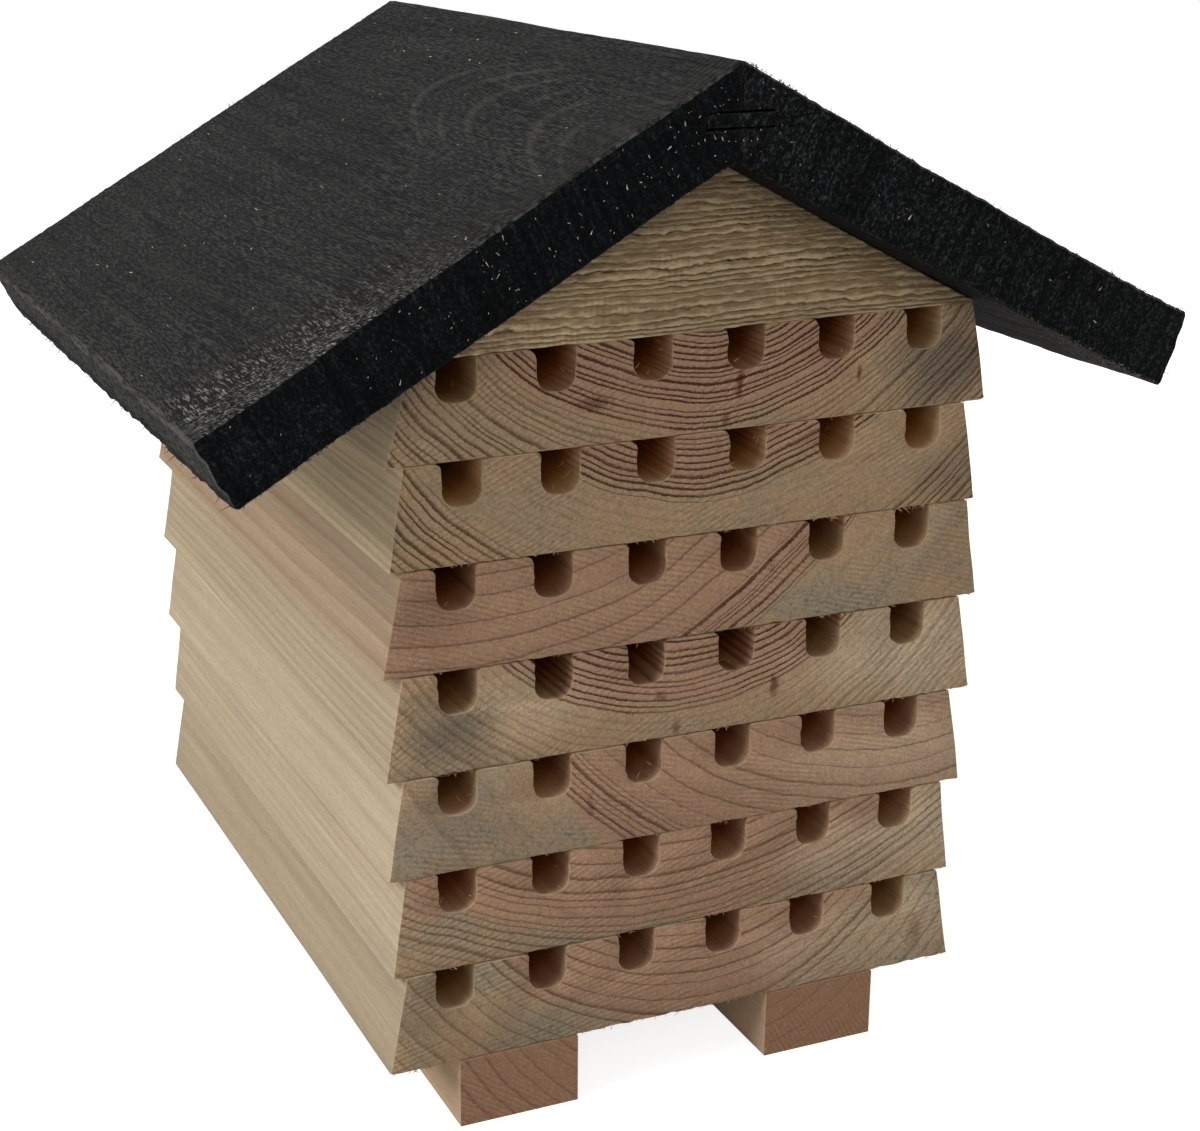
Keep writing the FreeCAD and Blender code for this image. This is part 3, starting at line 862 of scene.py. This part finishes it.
class Board:
    """A roof board's section from the frame: distances are from the ridge, out to the side."""

    def __init__(self, side):
        self.side = side
        self.sign = -1 if side == "left" else 1
        self.seed = ROOF_SEED[side]
        points = node_points(f"roof_board_{side}")
        self.low, self.high = points.min(0), points.max(0)
        self.ridge = points[:, 2].max()
        self.mitre_low = points[np.abs(points[:, 0]) < 0.01][:, 2].min()
        top = points[np.argmax(np.abs(points[:, 0]))]
        under = points[np.argmin(points[:, 2])]
        self.eave_top = np.array((abs(top[0]), top[2]))
        self.eave_low = np.array((abs(under[0]), under[2]))
        slope = math.atan2(self.ridge - self.eave_top[1], self.eave_top[0])
        self.along = np.array((math.cos(slope), -math.sin(slope)))
        self.normal = np.array((math.sin(slope), math.cos(slope)))
        self.thickness = (self.eave_top - self.eave_low) @ self.normal
        self.length = self.eave_top @ self.along - self.ridge * self.along[1]

    def lift(self, reach, y):
        """How far the cupped board stands above its true slope."""
        share = np.clip(np.asarray(reach) / self.eave_top[0], 0, 1)
        return EAVE_LIFT[self.side] * share ** LIFT_CURVE[self.side] - roof_sink(y)

    def relief(self, places):
        """Raised fibres along the grain, about -1 to 1, and broad lumps, at each (run, y, depth)."""
        fibres = noise_at(places, (1.4, 34, 20), self.seed)
        fibres += 0.6 * noise_at(places, (0.95, 6, 20), self.seed + 20)
        return fibres, noise_at(places, (24, 60, 40), self.seed + 40)

    def sag(self, run):
        """How far the underside hangs below the true one."""
        return UNDER_SAG * smooth_step(SAG_REACH[self.side], 0, run)

    def point(self, run, y, rise):
        """A point in the frame, at a distance down the slope and a height above the cupped top."""
        x, z = np.array((0, self.ridge)) + run * self.along + rise * self.normal
        return (self.sign * x, y, z + self.lift(x, y))

    def top_point(self, run, y, above):
        """A point at a height above the rough top face."""
        fibres, lumps = self.relief([(run, y, 0)])
        return self.point(run, y, FIBRE_RISE * fibres[0] + LUMP_RISE * lumps[0] + above)

    def front_point(self, run, depth):
        """A point on the front end, at a depth below the top."""
        return self.point(run, self.low[1] + END_SETBACK, -depth)


def make_roof_board(board):
    """A rough-sawn, slightly cupped board, mitred at the ridge and slotted for the spline."""
    spline_low, spline_high = node_box("ridge_spline")
    slot_reach = spline_high[0] + SLOT_EXTRA
    slot_low = spline_low[2] - SLOT_GAP
    slot_high = spline_high[2] + SLOT_GAP
    eave_low = board.eave_low + EAVE_FLARE[board.side] * board.along
    corners = [(0, board.mitre_low, 0), (*eave_low, EAVE_SOFTNESS), (*board.eave_top, EAVE_SOFTNESS),
               (0, board.ridge, RIDGE_SOFTNESS), (0, slot_high, 0), (slot_reach, slot_high, 0),
               (slot_reach, slot_low, 0), (0, slot_low, 0)]
    outline = outline_of(corners, BOARD_STEP)
    from_ridge = outline - np.array((0, board.ridge))
    depth = -from_ridge @ board.normal
    run = from_ridge @ board.along
    underside = depth > board.thickness - 0.5
    outward = np.where(depth < 0.5, 1, np.where(underside, -1, 0))
    sag = board.sag(run) * underside
    at_eave = smooth_step(board.length - 1.2, board.length - 0.2, run)

    # Wear and painted highlight along the eave and the ridge, less on the lower edge and not round the slot
    slot_half = (slot_high - slot_low) / 2 + SLOT_GAP
    at_slot = np.abs(outline[:, 1] - (slot_low + slot_high) / 2) < slot_half
    at_slot &= outline[:, 0] < slot_reach + SLOT_GAP
    bare = np.where(depth > board.thickness - 0.8, 0.3, 1) * ~at_slot
    rim = 1.4 * smooth_step(1.8, 0.2, np.abs(run - run.max())) * smooth_step(2.2, 0.8, depth)
    rim = np.maximum(rim, 0.7 * smooth_step(1.5, 0.2, run) * (depth < 0.8))

    front = board.low[1] + END_SETBACK
    back = board.high[1] - END_SETBACK
    rows = [(front + y, shrink, wear) for y, shrink, wear in BOARD_RIM]
    rows += [(y, 0, 0) for y in np.arange(front + 1.4, back - 1.2, 1.6)]
    rows += [(back - y, shrink, wear) for y, shrink, wear in reversed(BOARD_RIM)]
    loft = Loft(board.sign)
    for y, shrink, wear in rows:
        level = np.full(len(run), y)
        places = np.stack([run, level, depth], axis=1)
        fibres, lumps = board.relief(places)
        rise = FIBRE_RISE * fibres + np.where(outward == 0, 0, LUMP_RISE * lumps)
        shape = inset(outline, shrink) + (rise * outward)[:, None] * board.normal
        ragged_eave = 0.3 * fibres + 0.5 * noise_at(places[:, ::-1], (2.5, 2.2, 9), board.seed + 80)
        shape += (ragged_eave * at_eave)[:, None] * board.along
        shape[:, 1] += board.lift(shape[:, 0], y) - sag
        if 0 < wear < 1:
            inward = 0.4 if y < 0 else -0.4
            level += inward * np.abs(noise_at(places, (1.6, 50, 1.6), board.seed + 60))
        off_mitre = np.where(depth < 0.8, 1, smooth_step(0.8, 2.0, shape[:, 0]))
        worn = np.clip(np.maximum(wear, rim) * (0.3 + 1.1 * np.abs(fibres)), 0, 1) * off_mitre * bare
        loft.ring(np.stack([board.sign * shape[:, 0], level, shape[:, 1]], axis=1), worn=worn,
                  relief=0.5 + 0.5 * np.clip(fibres / 1.1, -1, 1))
    points = np.clip(loft.points, (board.low[0], board.low[1], 0), board.high)
    caps = [loft.rows[0], loft.rows[-1][::-1]]
    return add_mesh(f"roof_board_{board.side}_wood", points, loft.faces, caps, loft.values, 55)


def roof_flakes(board):
    """Pale flakes of wood caught in the rough top, all over the front end and round the ridge end."""
    luck = Luck(40 + board.seed)
    top_count, front_count, ridge_count = FLAKE_COUNTS[board.side]
    flakes = Slivers()
    for _ in range(top_count):
        place = board.top_point(*luck.within((3, board.length - 3), TOP_REACH), 0.1)
        across, along, up = luck.within((-1, 1), (-1, 1), (-0.1, 0.5))
        direction = (board.along[0] * board.sign * across, along, up)
        flakes.add(place, direction, *luck.within((0.3, 0.9), (0.14, 0.28)), (0, 0, 0.1))
    for reach in [board.length - 4] * front_count + [RIDGE_FLAKE_REACH] * ridge_count:
        run = min(luck.within((4, reach), (4, 1.3 * reach)))
        place = board.front_point(run, luck.uniform(1.0, board.thickness - 1.0))
        direction = luck.within((-0.6, 0.6), (-0.15, 0.05), (-1, 1))
        size = luck.choice(FLAKE_LENGTHS)
        flakes.add(place, direction, size, luck.uniform(0.12, 0.15 + 0.14 * size), (0, 0, 0))
    return flakes.build(f"roof_board_{board.side}_flakes")


def roof_hairs(board):
    """Dark fibres that stand out along the board's eave and its front and back edges."""
    luck = Luck(70 + board.seed)
    hairs = Slivers()
    for _ in range(HAIR_COUNT):
        run = luck.uniform(2, board.length - 1)
        place = board.top_point(run, luck.choice(TOP_ENDS) + luck.uniform(-0.6, 0.6), -0.1)
        direction = luck.within((-0.6, 0.6), (-0.2, 0.2), (0.4, 1))
        length, width, aside = luck.within((0.4, 1.3), (0.1, 0.22), (-0.4, 0.4))
        hairs.add(place, direction, length, width, (aside, 0, 0))
        inside, above, y = luck.within((0.1, 0.9), (0.2, 3.5), TOP_REACH)
        x, z = board.eave_low + (EAVE_FLARE[board.side] - inside) * board.along + above * board.normal
        outward, along, down = luck.within((0.3, 1), (-0.8, 0.8), (-1, -0.1))
        bend = luck.within((-0.6, 0.6), (-1.2, 1.2), (-0.6, 0.6))
        hairs.add((board.sign * x, y, z + board.lift(x, y)), (board.sign * outward, along, down),
                  *luck.within((0.6, 2.4), (0.12, 0.24)), bend)
    for _ in range(EDGE_HAIR_COUNT):
        run = luck.uniform(1, board.length - 1)
        for depth, up in ((0.15, 1), (board.thickness - 0.15, -1)):
            x, y, z = board.front_point(run, depth)
            root = (x, y + luck.uniform(0.1, 0.5), z - (board.sag(run) if up < 0 else 0))
            across, along, rise = luck.within((-0.8, 0.8), (-0.6, 0.1), (0.2, 1))
            hairs.add(root, (across, along, up * rise), *luck.within((0.2, 0.7), (0.14, 0.3)), (0, 0, 0))
    return hairs.build(f"roof_board_{board.side}_hairs")


def black_wood(name, board):
    """Rough-sawn wood under a thin black stain, grain along the ridge."""
    graph = Surface(name)
    seed = board.seed
    run = graph.vector("DOT_PRODUCT", graph.place, (board.sign * board.along[0], 0, board.along[1]))
    run = run - board.ridge * board.along[1]
    depth = graph.vector("DOT_PRODUCT", graph.place, (board.sign * board.normal[0], 0, board.normal[1]))
    y = graph.split(graph.place)[1]
    flat = graph.combine(run, y, depth)
    flat = graph.stir(flat, (5, 14, 0), (40, 70, 40), 2, seed + 3, flat)
    bent_run, bent_y, _ = graph.split(flat)

    # Strokes along the grain, turned aside near the front end, and crumbs all over
    aside = graph.combine(bent_y * 0.8 - bent_run * 0.6, bent_y * 0.6 + bent_run * 0.8, depth)
    with_grain = graph.noise((0.34, 2.7, 0.9), 3, seed, flat, 0.55)
    across = graph.noise((0.28, 1.2, 0.9), 3, seed + 5, aside, 0.6)
    strokes = with_grain + graph.ramp(bent_y, -70, -98) * (across - with_grain)
    crumb = graph.noise((0.5, 0.8, 0.5), 3, seed + 1, flat, 0.6)
    cloud = graph.noise((20, 34, 20), 3, seed + 2, flat)
    streak = graph.noise((2.6, 70, 6), 2, seed + 6, flat)
    band = graph.noise((4.5, 90, 6), 3, seed + 9, flat)
    groove = graph.ramp(graph.noise((0.8, 60, 3), 3, seed + 10, flat, 0.6), 0.5, 0.36, 0.0, 0.5)

    # Saw marks across the grain, in patches that are clearest near the ridge
    wobble = graph.line(graph.noise((16, 9, 9), 2, seed + 11, flat), 0, 1, -5, 5)
    patch = graph.ramp(graph.noise((16, 24, 16), 2, seed + 12, flat), 0.4, 0.6)
    patch = patch * graph.ramp(run, 25, 80, 1.0, 0.3)
    saw = graph.math("SINE", y * (FULL_TURN / ROOF_SAW_PITCH) + wobble) * patch

    # Arched growth rings on the broad faces
    offset = bent_run - ARCH_MIDDLE[board.side]
    turns = (offset * offset * ARCH_CURVE + bent_y - ARCH_TIP[board.side]) * (1 / ARCH_SPACING)
    from_line = graph.math("ABSOLUTE", graph.math("FRACT", turns) - 0.5)
    flame = graph.ramp(from_line, 0.3, 0.48) * graph.ramp(cloud, 0.44, 0.6)
    flame = flame * graph.ramp(graph.math("ABSOLUTE", offset), 9, 20, 1.0, 0.0)
    flame = flame * graph.ramp(turns, 0.6, 1.1, 1.0, 0.0)
    flame = graph.math("MAXIMUM", flame, graph.ramp(streak, 0.6, 0.72, 0.0, 0.4))

    # The stained top, crumbled and glinting towards the front corner, and painted shade on the underside
    base = graph.mix(graph.ramp(strokes, 0.36, 0.66), colour(18, 18, 19), colour(62, 62, 60))
    from_corner = run * -CORNER_WEAR + bent_y
    crumbled = graph.ramp(from_corner, -77, -106) * graph.ramp(run, 42, 98, 0.15, 1.0)
    glint = graph.ramp(strokes, 0.51, 0.61) * graph.ramp(crumbled, 0, 1, 0.05, 0.9)
    raised = graph.ramp(graph.attribute("relief"), 0.55, 0.95, 0.0, 0.25)
    base = graph.layers(base, (crumbled * 0.6, (14, 14, 15)), (glint, (172, 168, 157)),
                        (raised, (72, 72, 70)), (flame * 0.3, (98, 97, 93)))
    base = graph.shade(base, (cloud, 0.3), (band, 0.3), (crumb, 0.3))
    base = graph.layers(base, (groove, (12, 12, 13)))
    base = graph.shade(base, (graph.line(saw, -1, 1), 0.34))
    at_eave = graph.ramp(run, board.length - 1.0, board.length - 0.4) * graph.ramp(strokes, 0.4, 0.66)
    below = float(board.ridge * board.normal[1]) - depth
    # Painted shade on the underside
    underside = graph.ramp(below, board.thickness - 1.0, board.thickness - 0.4, 0.0, 0.75)
    base = graph.layers(base, (at_eave, (70, 70, 66)), (underside, (13, 12, 12)))

    # Ends show darker end grain with faint saw lines across the board
    sawn = graph.ramp(graph.noise((1.5, 9, 30), 3, seed + 8, flat), 0.32, 0.68)
    grit = graph.noise((0.6, 0.6, 0.9), 4, seed + 15, flat, 0.7)
    patchy = graph.noise((16, 16, 7), 2, seed + 16, flat)
    end = graph.mix(graph.ramp(grit, 0.46, 0.74), colour(8, 10, 11), colour(*END_FLECK[board.side]))
    end = graph.shade(end, (sawn, 0.55), (patchy, 0.6))
    base = graph.mix(graph.ramp(graph.end_on(), 0.6, 0.9), base, end)
    # Pale wear and painted highlight along the eave, the ridge and the front and back edges
    worn = graph.ramp(graph.attribute("worn"), 0.3, 1.0, 0.0, 0.55)
    base = graph.layers(base, (worn, (112, 110, 104)))

    height = strokes * 1.2 + crumb * 0.4 + saw * 0.3 - groove * 0.5
    return graph.finish(base, graph.line(strokes, 0.2, 0.8, 0.72, 0.92), height, 0.55, 0.05)


# The gables

GRAIN_PITCH = 1.3
RIPPLE_PITCH = 1.25
GABLE_APEX_SHIFT = -1.2
GABLE_APEX_DROP = 0.6
GABLE_LEFT_EXTRA = 0.4
GABLE_RIGHT_EXTRA = 0.2
GABLE_RELIEF = 0.8
GABLE_CELLS = (300, 3, 200)
SPLINE_CELLS = (6, 40, 2)


def make_block(name, counts, place):
    """A closed block of counts cells along each axis, with place turning shares of each into points."""
    shape = tuple(count + 1 for count in counts)
    index = np.arange(np.prod(shape)).reshape(shape)
    sheets = ((index[0], -1), (index[-1], 1), (index[:, 0], 1), (index[:, -1], -1), (index[:, :, 0], -1),
              (index[:, :, -1], 1))
    faces = []
    for grid, turn in sheets:
        quads = np.stack([grid[:-1, :-1], grid[1:, :-1], grid[1:, 1:], grid[:-1, 1:]], axis=-1)
        faces.append(quads.reshape(-1, 4)[:, ::turn])
    used, fresh = np.unique(np.concatenate(faces), return_inverse=True)
    points, attributes = place(np.indices(shape).reshape(3, -1).T[used] / np.array(counts))
    return add_mesh(name, points, fresh.reshape(-1, 4).tolist(), (), attributes)


def make_gable(node, seed, facing):
    """A sawn triangle with torn, stepped grain on its outer face. facing is -1 in front and 1 at the back."""
    low, high = node_box(node)
    half_width = high[0]
    top = high[2] - GABLE_APEX_DROP

    def place(shares):
        across, inwards, up = shares.T
        height = low[2] + up * (top - low[2])
        left = -half_width + up * (half_width + GABLE_APEX_SHIFT) - GABLE_LEFT_EXTRA
        right = half_width + up * (GABLE_APEX_SHIFT - half_width) + GABLE_RIGHT_EXTRA
        x = left + across * (right - left)
        y = low[1] + inwards * (high[1] - low[1])
        flat = np.stack([x, np.zeros(len(x)), height], axis=1)

        def rough(width, rise, shift, detail=1):
            return noise_at(flat, (width, 1, rise), seed + shift, detail)

        # Bands of grain, each a slope that ends in a step
        drift = 1.4 * rough(46, 9, 0) + 0.34 * rough(7, 2.6, 5, 2) + 0.24 * rough(2.2, 1.3, 7)
        drift += 1.1 * rough(300, 3.4, 8) + 0.16 * rough(1.0, 0.7, 11)
        phase = (top - height + drift) / GRAIN_PITCH
        band = np.floor(phase)
        share = phase - band
        size = (0.45 + 0.55 * np.abs(np.sin(band * 12.9898 + seed))) * (0.7 + 0.6 * np.abs(rough(14, 4, 12)))
        step = smooth_step(0.0, 0.8, share) * (1 - smooth_step(0.84, 0.98, share))
        torn = rough(3.2, 0.8, 9, 2)
        rippled = np.sin(FULL_TURN * x / RIPPLE_PITCH + 2 * rough(9, 5, 14))
        low_left = smooth_step(13, 4, height - low[2]) * smooth_step(10, -15, x)
        rippled *= smooth_step(0.25, 0.6, rough(12, 7, 16) + 0.5 * low_left)
        surface = 0.6 * size * step + 0.18 * torn + 0.07 * rippled
        edge = np.minimum(up, 1 - np.abs(across * 2 - 1))
        sunk = GABLE_RELIEF - surface + 0.3 * smooth_step(0.01, 0.0, edge)
        outer = inwards < 0.01 if facing < 0 else inwards > 0.99
        lowered = roof_sink(y) + left_drop(TRAY_COUNT, x) * (1 - up)
        points = np.stack([x, y + np.where(outer, -facing * sunk, 0), height - lowered], axis=1)
        # The crease under each step is marked for painted shade
        groove = smooth_step(0.68, 0.86, share) * (1 - smooth_step(0.97, 1.0, share))
        relief = np.clip(step * size + 0.3 * torn + 0.12 * rippled, 0, 1)
        return points, {"groove": groove * np.clip(1.15 * size, 0, 1), "relief": relief}

    return make_block(node + "_wood", GABLE_CELLS, place)


def sawn_wood(name, seed):
    """Rough-sawn softwood with its grain across the gable, with painted light towards the left and painted
    shade in the grain's grooves.
    """
    graph = Surface(name)
    fibre = graph.noise((14, 0.8, 0.45), 3, seed)
    cloud = graph.noise((30, 10, 9), 3, seed + 1)
    crumb = graph.noise((0.9, 0.5, 0.4), 2, seed + 2)
    fleck = graph.noise((4, 2, 0.6), 3, seed + 3)
    crack = graph.noise((5, 1, 0.28), 3, seed + 4)
    raised = graph.ramp(graph.attribute("relief"), 0.0, 0.7)
    base = graph.mix(raised, colour(146, 122, 90), colour(208, 186, 147))
    # Cloud, flecks, painted shade in the grain's grooves, and cracks
    base = graph.layers(base, (graph.ramp(cloud, 0.4, 0.7, 0.0, 0.4), (176, 150, 112)),
                        (graph.ramp(fleck, 0.58, 0.72, 0.0, 0.4), (128, 96, 60)),
                        (graph.attribute("groove"), (58, 40, 24)),
                        (graph.ramp(crack, 0.42, 0.33, 0.0, 0.5), (84, 62, 40)))
    # Painted light: lighter towards the left end
    painted_light_left = graph.ramp(graph.split(graph.place)[0], -50, 0, 1.0, 0.5)
    base = graph.shade(base, (fibre, 0.2), (crumb, 0.22), (painted_light_left, 0.45))
    return graph.finish(base, 0.82, fibre + crumb * 0.6, 0.22, 0.08)


def make_spline():
    """The loose tongue across the mitre."""
    low, high = node_box("ridge_spline")
    low[1] += END_SETBACK / 2
    high[1] -= END_SETBACK / 2

    def place(shares):
        points = low + shares * (high - low)
        points[:, 2] -= roof_sink(points[:, 1])
        return points, {}

    return make_block("ridge_spline_wood", SPLINE_CELLS, place)


# Dowels, screws and brads

def make_brads(board):
    """The board's headless nails, driven in as far as the cupped board asks for."""
    node = f"roof_brads_{board.side}"
    points = node_points(node)
    depth = -(points[:, [0, 2]] * (board.sign, 1) - (0, board.ridge)) @ board.normal
    cover = BRAD_COVER - board.lift(np.abs(points[:, 0]), points[:, 1])
    driven = np.where(depth < board.thickness / 2, cover, 0)
    points[:, [0, 2]] -= driven[:, None] * board.normal * (board.sign, 1)
    faces = [tuple(face.vertices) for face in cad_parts[node].data.polygons]
    return add_mesh(node + "_steel", points, faces)


def turned_wood(name):
    """Pale beech with its grain upright and short dark flecks."""
    graph = Surface(name)
    fibre = graph.noise((0.4, 0.4, 12), 3, 1)
    fleck = graph.noise((0.35, 0.35, 2.2), 2, 2)
    base = graph.mix(graph.ramp(fibre, 0.3, 0.7), colour(214, 178, 134), colour(228, 198, 158))
    base = graph.layers(base, (graph.ramp(fleck, 0.6, 0.7, 0.0, 0.5), (168, 122, 82)))
    return graph.finish(base, 0.6, fibre, 0.06, 0.35)


def plated_steel(name):
    """Zinc-plated steel, dulled and scuffed."""
    graph = Surface(name)
    cloud = graph.noise((2.5, 2.5, 2.5), 3, 1)
    scuff = graph.noise((0.3, 3.0, 0.3), 3, 2)
    base = graph.mix(graph.ramp(cloud, 0.35, 0.65), colour(150, 150, 146), colour(196, 194, 186))
    graph.set(graph.shader.inputs["Metallic"], 1.0)
    return graph.finish(base, graph.line(scuff, 0.3, 0.7, 0.3, 0.5), scuff, 0.03, 0.5)


def torn_fibre(name, pale, deep):
    """Loose fibre of the wood that it was torn from."""
    graph = Surface(name)
    tint = graph.noise((3, 3, 3), 2, 1)
    base = graph.mix(graph.ramp(tint, 0.35, 0.65), pale, deep)
    return graph.finish(base, 0.8, tint, 0.02, 0.2)


# Stage, light and camera

FLOOR_REACH = 6000.0
FLOOR_GREY = 0.6
FLOOR_GLOW = 0.82
AMBIENT = 0.3
LIT_POINT = (0, 0, 100)


def make_stage():
    """A plain white floor that keeps the object's shadow, and an even white surround."""
    corners = [(x * FLOOR_REACH, y * FLOOR_REACH, 0) for x, y in ((-1, -1), (1, -1), (1, 1), (-1, 1))]
    floor = add_mesh("floor", corners, [], [(0, 1, 2, 3)])
    material = bpy.data.materials.new("floor_white")
    graph = Graph(material)
    graph.tree.nodes.clear()
    grey = (FLOOR_GREY, FLOOR_GREY, FLOOR_GREY, 1)
    diffuse = graph.node("ShaderNodeBsdfDiffuse", 0, [("Color", grey)])
    glow = graph.node("ShaderNodeEmission", 0, [("Strength", seen_directly(graph, FLOOR_GLOW))])
    both = graph.node("ShaderNodeAddShader", 0, [(0, diffuse), (1, glow)])
    graph.set(graph.tree.nodes.new("ShaderNodeOutputMaterial").inputs["Surface"], both)
    floor.data.materials.append(material)

    world = bpy.data.worlds.new("studio")
    bpy.context.scene.world = world
    graph = Graph(world)
    back = graph.tree.nodes["Background"]
    graph.set(back.inputs["Color"], (1, 1, 1, 1))
    graph.set(back.inputs["Strength"], seen_directly(graph, 1.0 - AMBIENT) + AMBIENT)


def seen_directly(graph, strength):
    """strength for camera, glossy and transmission rays, and 0 for the rest."""
    camera, glossy, through = (graph.node("ShaderNodeLightPath", f"Is {kind} Ray")
                               for kind in ("Camera", "Glossy", "Transmission"))
    return graph.math("MAXIMUM", graph.math("MAXIMUM", camera, glossy), through) * strength


def aimed(name, data, place, direction):
    """A lamp or camera at a place, looking along a direction."""
    holder = bpy.data.objects.new(name, data)
    holder.location = Vector(place) * MM
    holder.rotation_mode = "QUATERNION"
    holder.rotation_quaternion = Vector(direction).to_track_quat("-Z", "Y")
    bpy.context.scene.collection.objects.link(holder)
    return holder


def add_softbox(name, place, size, power):
    lamp = bpy.data.lights.new(name, "AREA")
    lamp.shape = "DISK"
    lamp.size = size * MM
    lamp.energy = power
    aimed(name, lamp, place, Vector(LIT_POINT) - Vector(place))


def make_camera():
    lens = bpy.data.cameras.new("camera")
    lens.sensor_width = SENSOR_WIDTH
    lens.lens = CAMERA_FOCAL_PIXELS / IMAGE_WIDTH * SENSOR_WIDTH
    lens.clip_start = 0.01
    lens.clip_end = 50
    azimuth = math.radians(CAMERA_AZIMUTH)
    elevation = math.radians(CAMERA_ELEVATION)
    forward = (-math.sin(azimuth) * math.cos(elevation), math.cos(azimuth) * math.cos(elevation),
               -math.sin(elevation))
    holder = aimed("camera", lens, CAMERA_PLACE, forward)
    holder.rotation_quaternion = holder.rotation_quaternion @ Quaternion((0, 0, 1), math.radians(CAMERA_ROLL))
    bpy.context.scene.camera = holder


# Putting it together

make_camera()
make_stage()
add_softbox("key", (-1150, -220, 850), 620, 9.0)
add_softbox("fill", (-450, -1350, 850), 900, 4.6)
add_softbox("back", (950, 850, 800), 900, 6.0)
bpy.context.scene.view_settings.view_transform = "Standard"

pale_fibre = torn_fibre("torn_fibre_pale", colour(208, 180, 138), colour(170, 134, 96))
for k in range(1, TRAY_COUNT + 1):
    body = "base" if k == 1 else f"tray_{k}_body"
    tray, front = make_tray(k)
    tray_wood = ring_wood(f"tray_wood_{k}", seed=10 * k, **TRAY_WOOD[k])
    dress(tray, tray_wood, body, "tray_softwood", f"tray_{k}")
    dress(tray_fibres(k, front), pale_fibre, body, "tray_softwood")

beech = turned_wood("beech")
for k in range(1, TRAY_COUNT + 1):
    dress_node(f"dowels_{k}", beech)

steel = plated_steel("plated_steel")
dark_fibre = torn_fibre("torn_fibre_dark", colour(60, 60, 58), colour(30, 30, 30))
flake_wood = torn_fibre("flake_wood", colour(226, 222, 208), colour(168, 158, 138))
stained = {}
for side in ("left", "right"):
    board = Board(side)
    stained[side] = black_wood(f"black_wood_{side}", board)
    dress(make_roof_board(board), stained[side], "roof", "roof_black_wood", f"roof_board_{side}")
    dress(roof_flakes(board), flake_wood, "roof", "roof_black_wood")
    dress(roof_hairs(board), dark_fibre, "roof", "roof_black_wood")
    dress(make_brads(board), steel, "roof", "screw_steel", f"roof_brads_{side}")
dress(make_spline(), stained["right"], "roof", "roof_black_wood", "ridge_spline")

for node, seed, facing in (("gable_front", 4, -1), ("gable_back", 21, 1)):
    gable_wood = sawn_wood(f"sawn_wood_{node}", seed)
    dress(make_gable(node, seed, facing), gable_wood, "roof", "gable_sawn_wood", node)
dress_node("ceiling_board", sawn_wood("sawn_wood_ceiling", 33), 0.4)

for side, pith, zone, seed, redden, saw_angle in FEET:
    foot_wood = ring_wood(f"foot_wood_{side}", pith, [zone], FOOT_HEART, seed, redden=redden,
                          saw_angle=saw_angle)
    dress_node(f"foot_{side}", foot_wood, 0.5)
dress_node("foot_screws", steel)
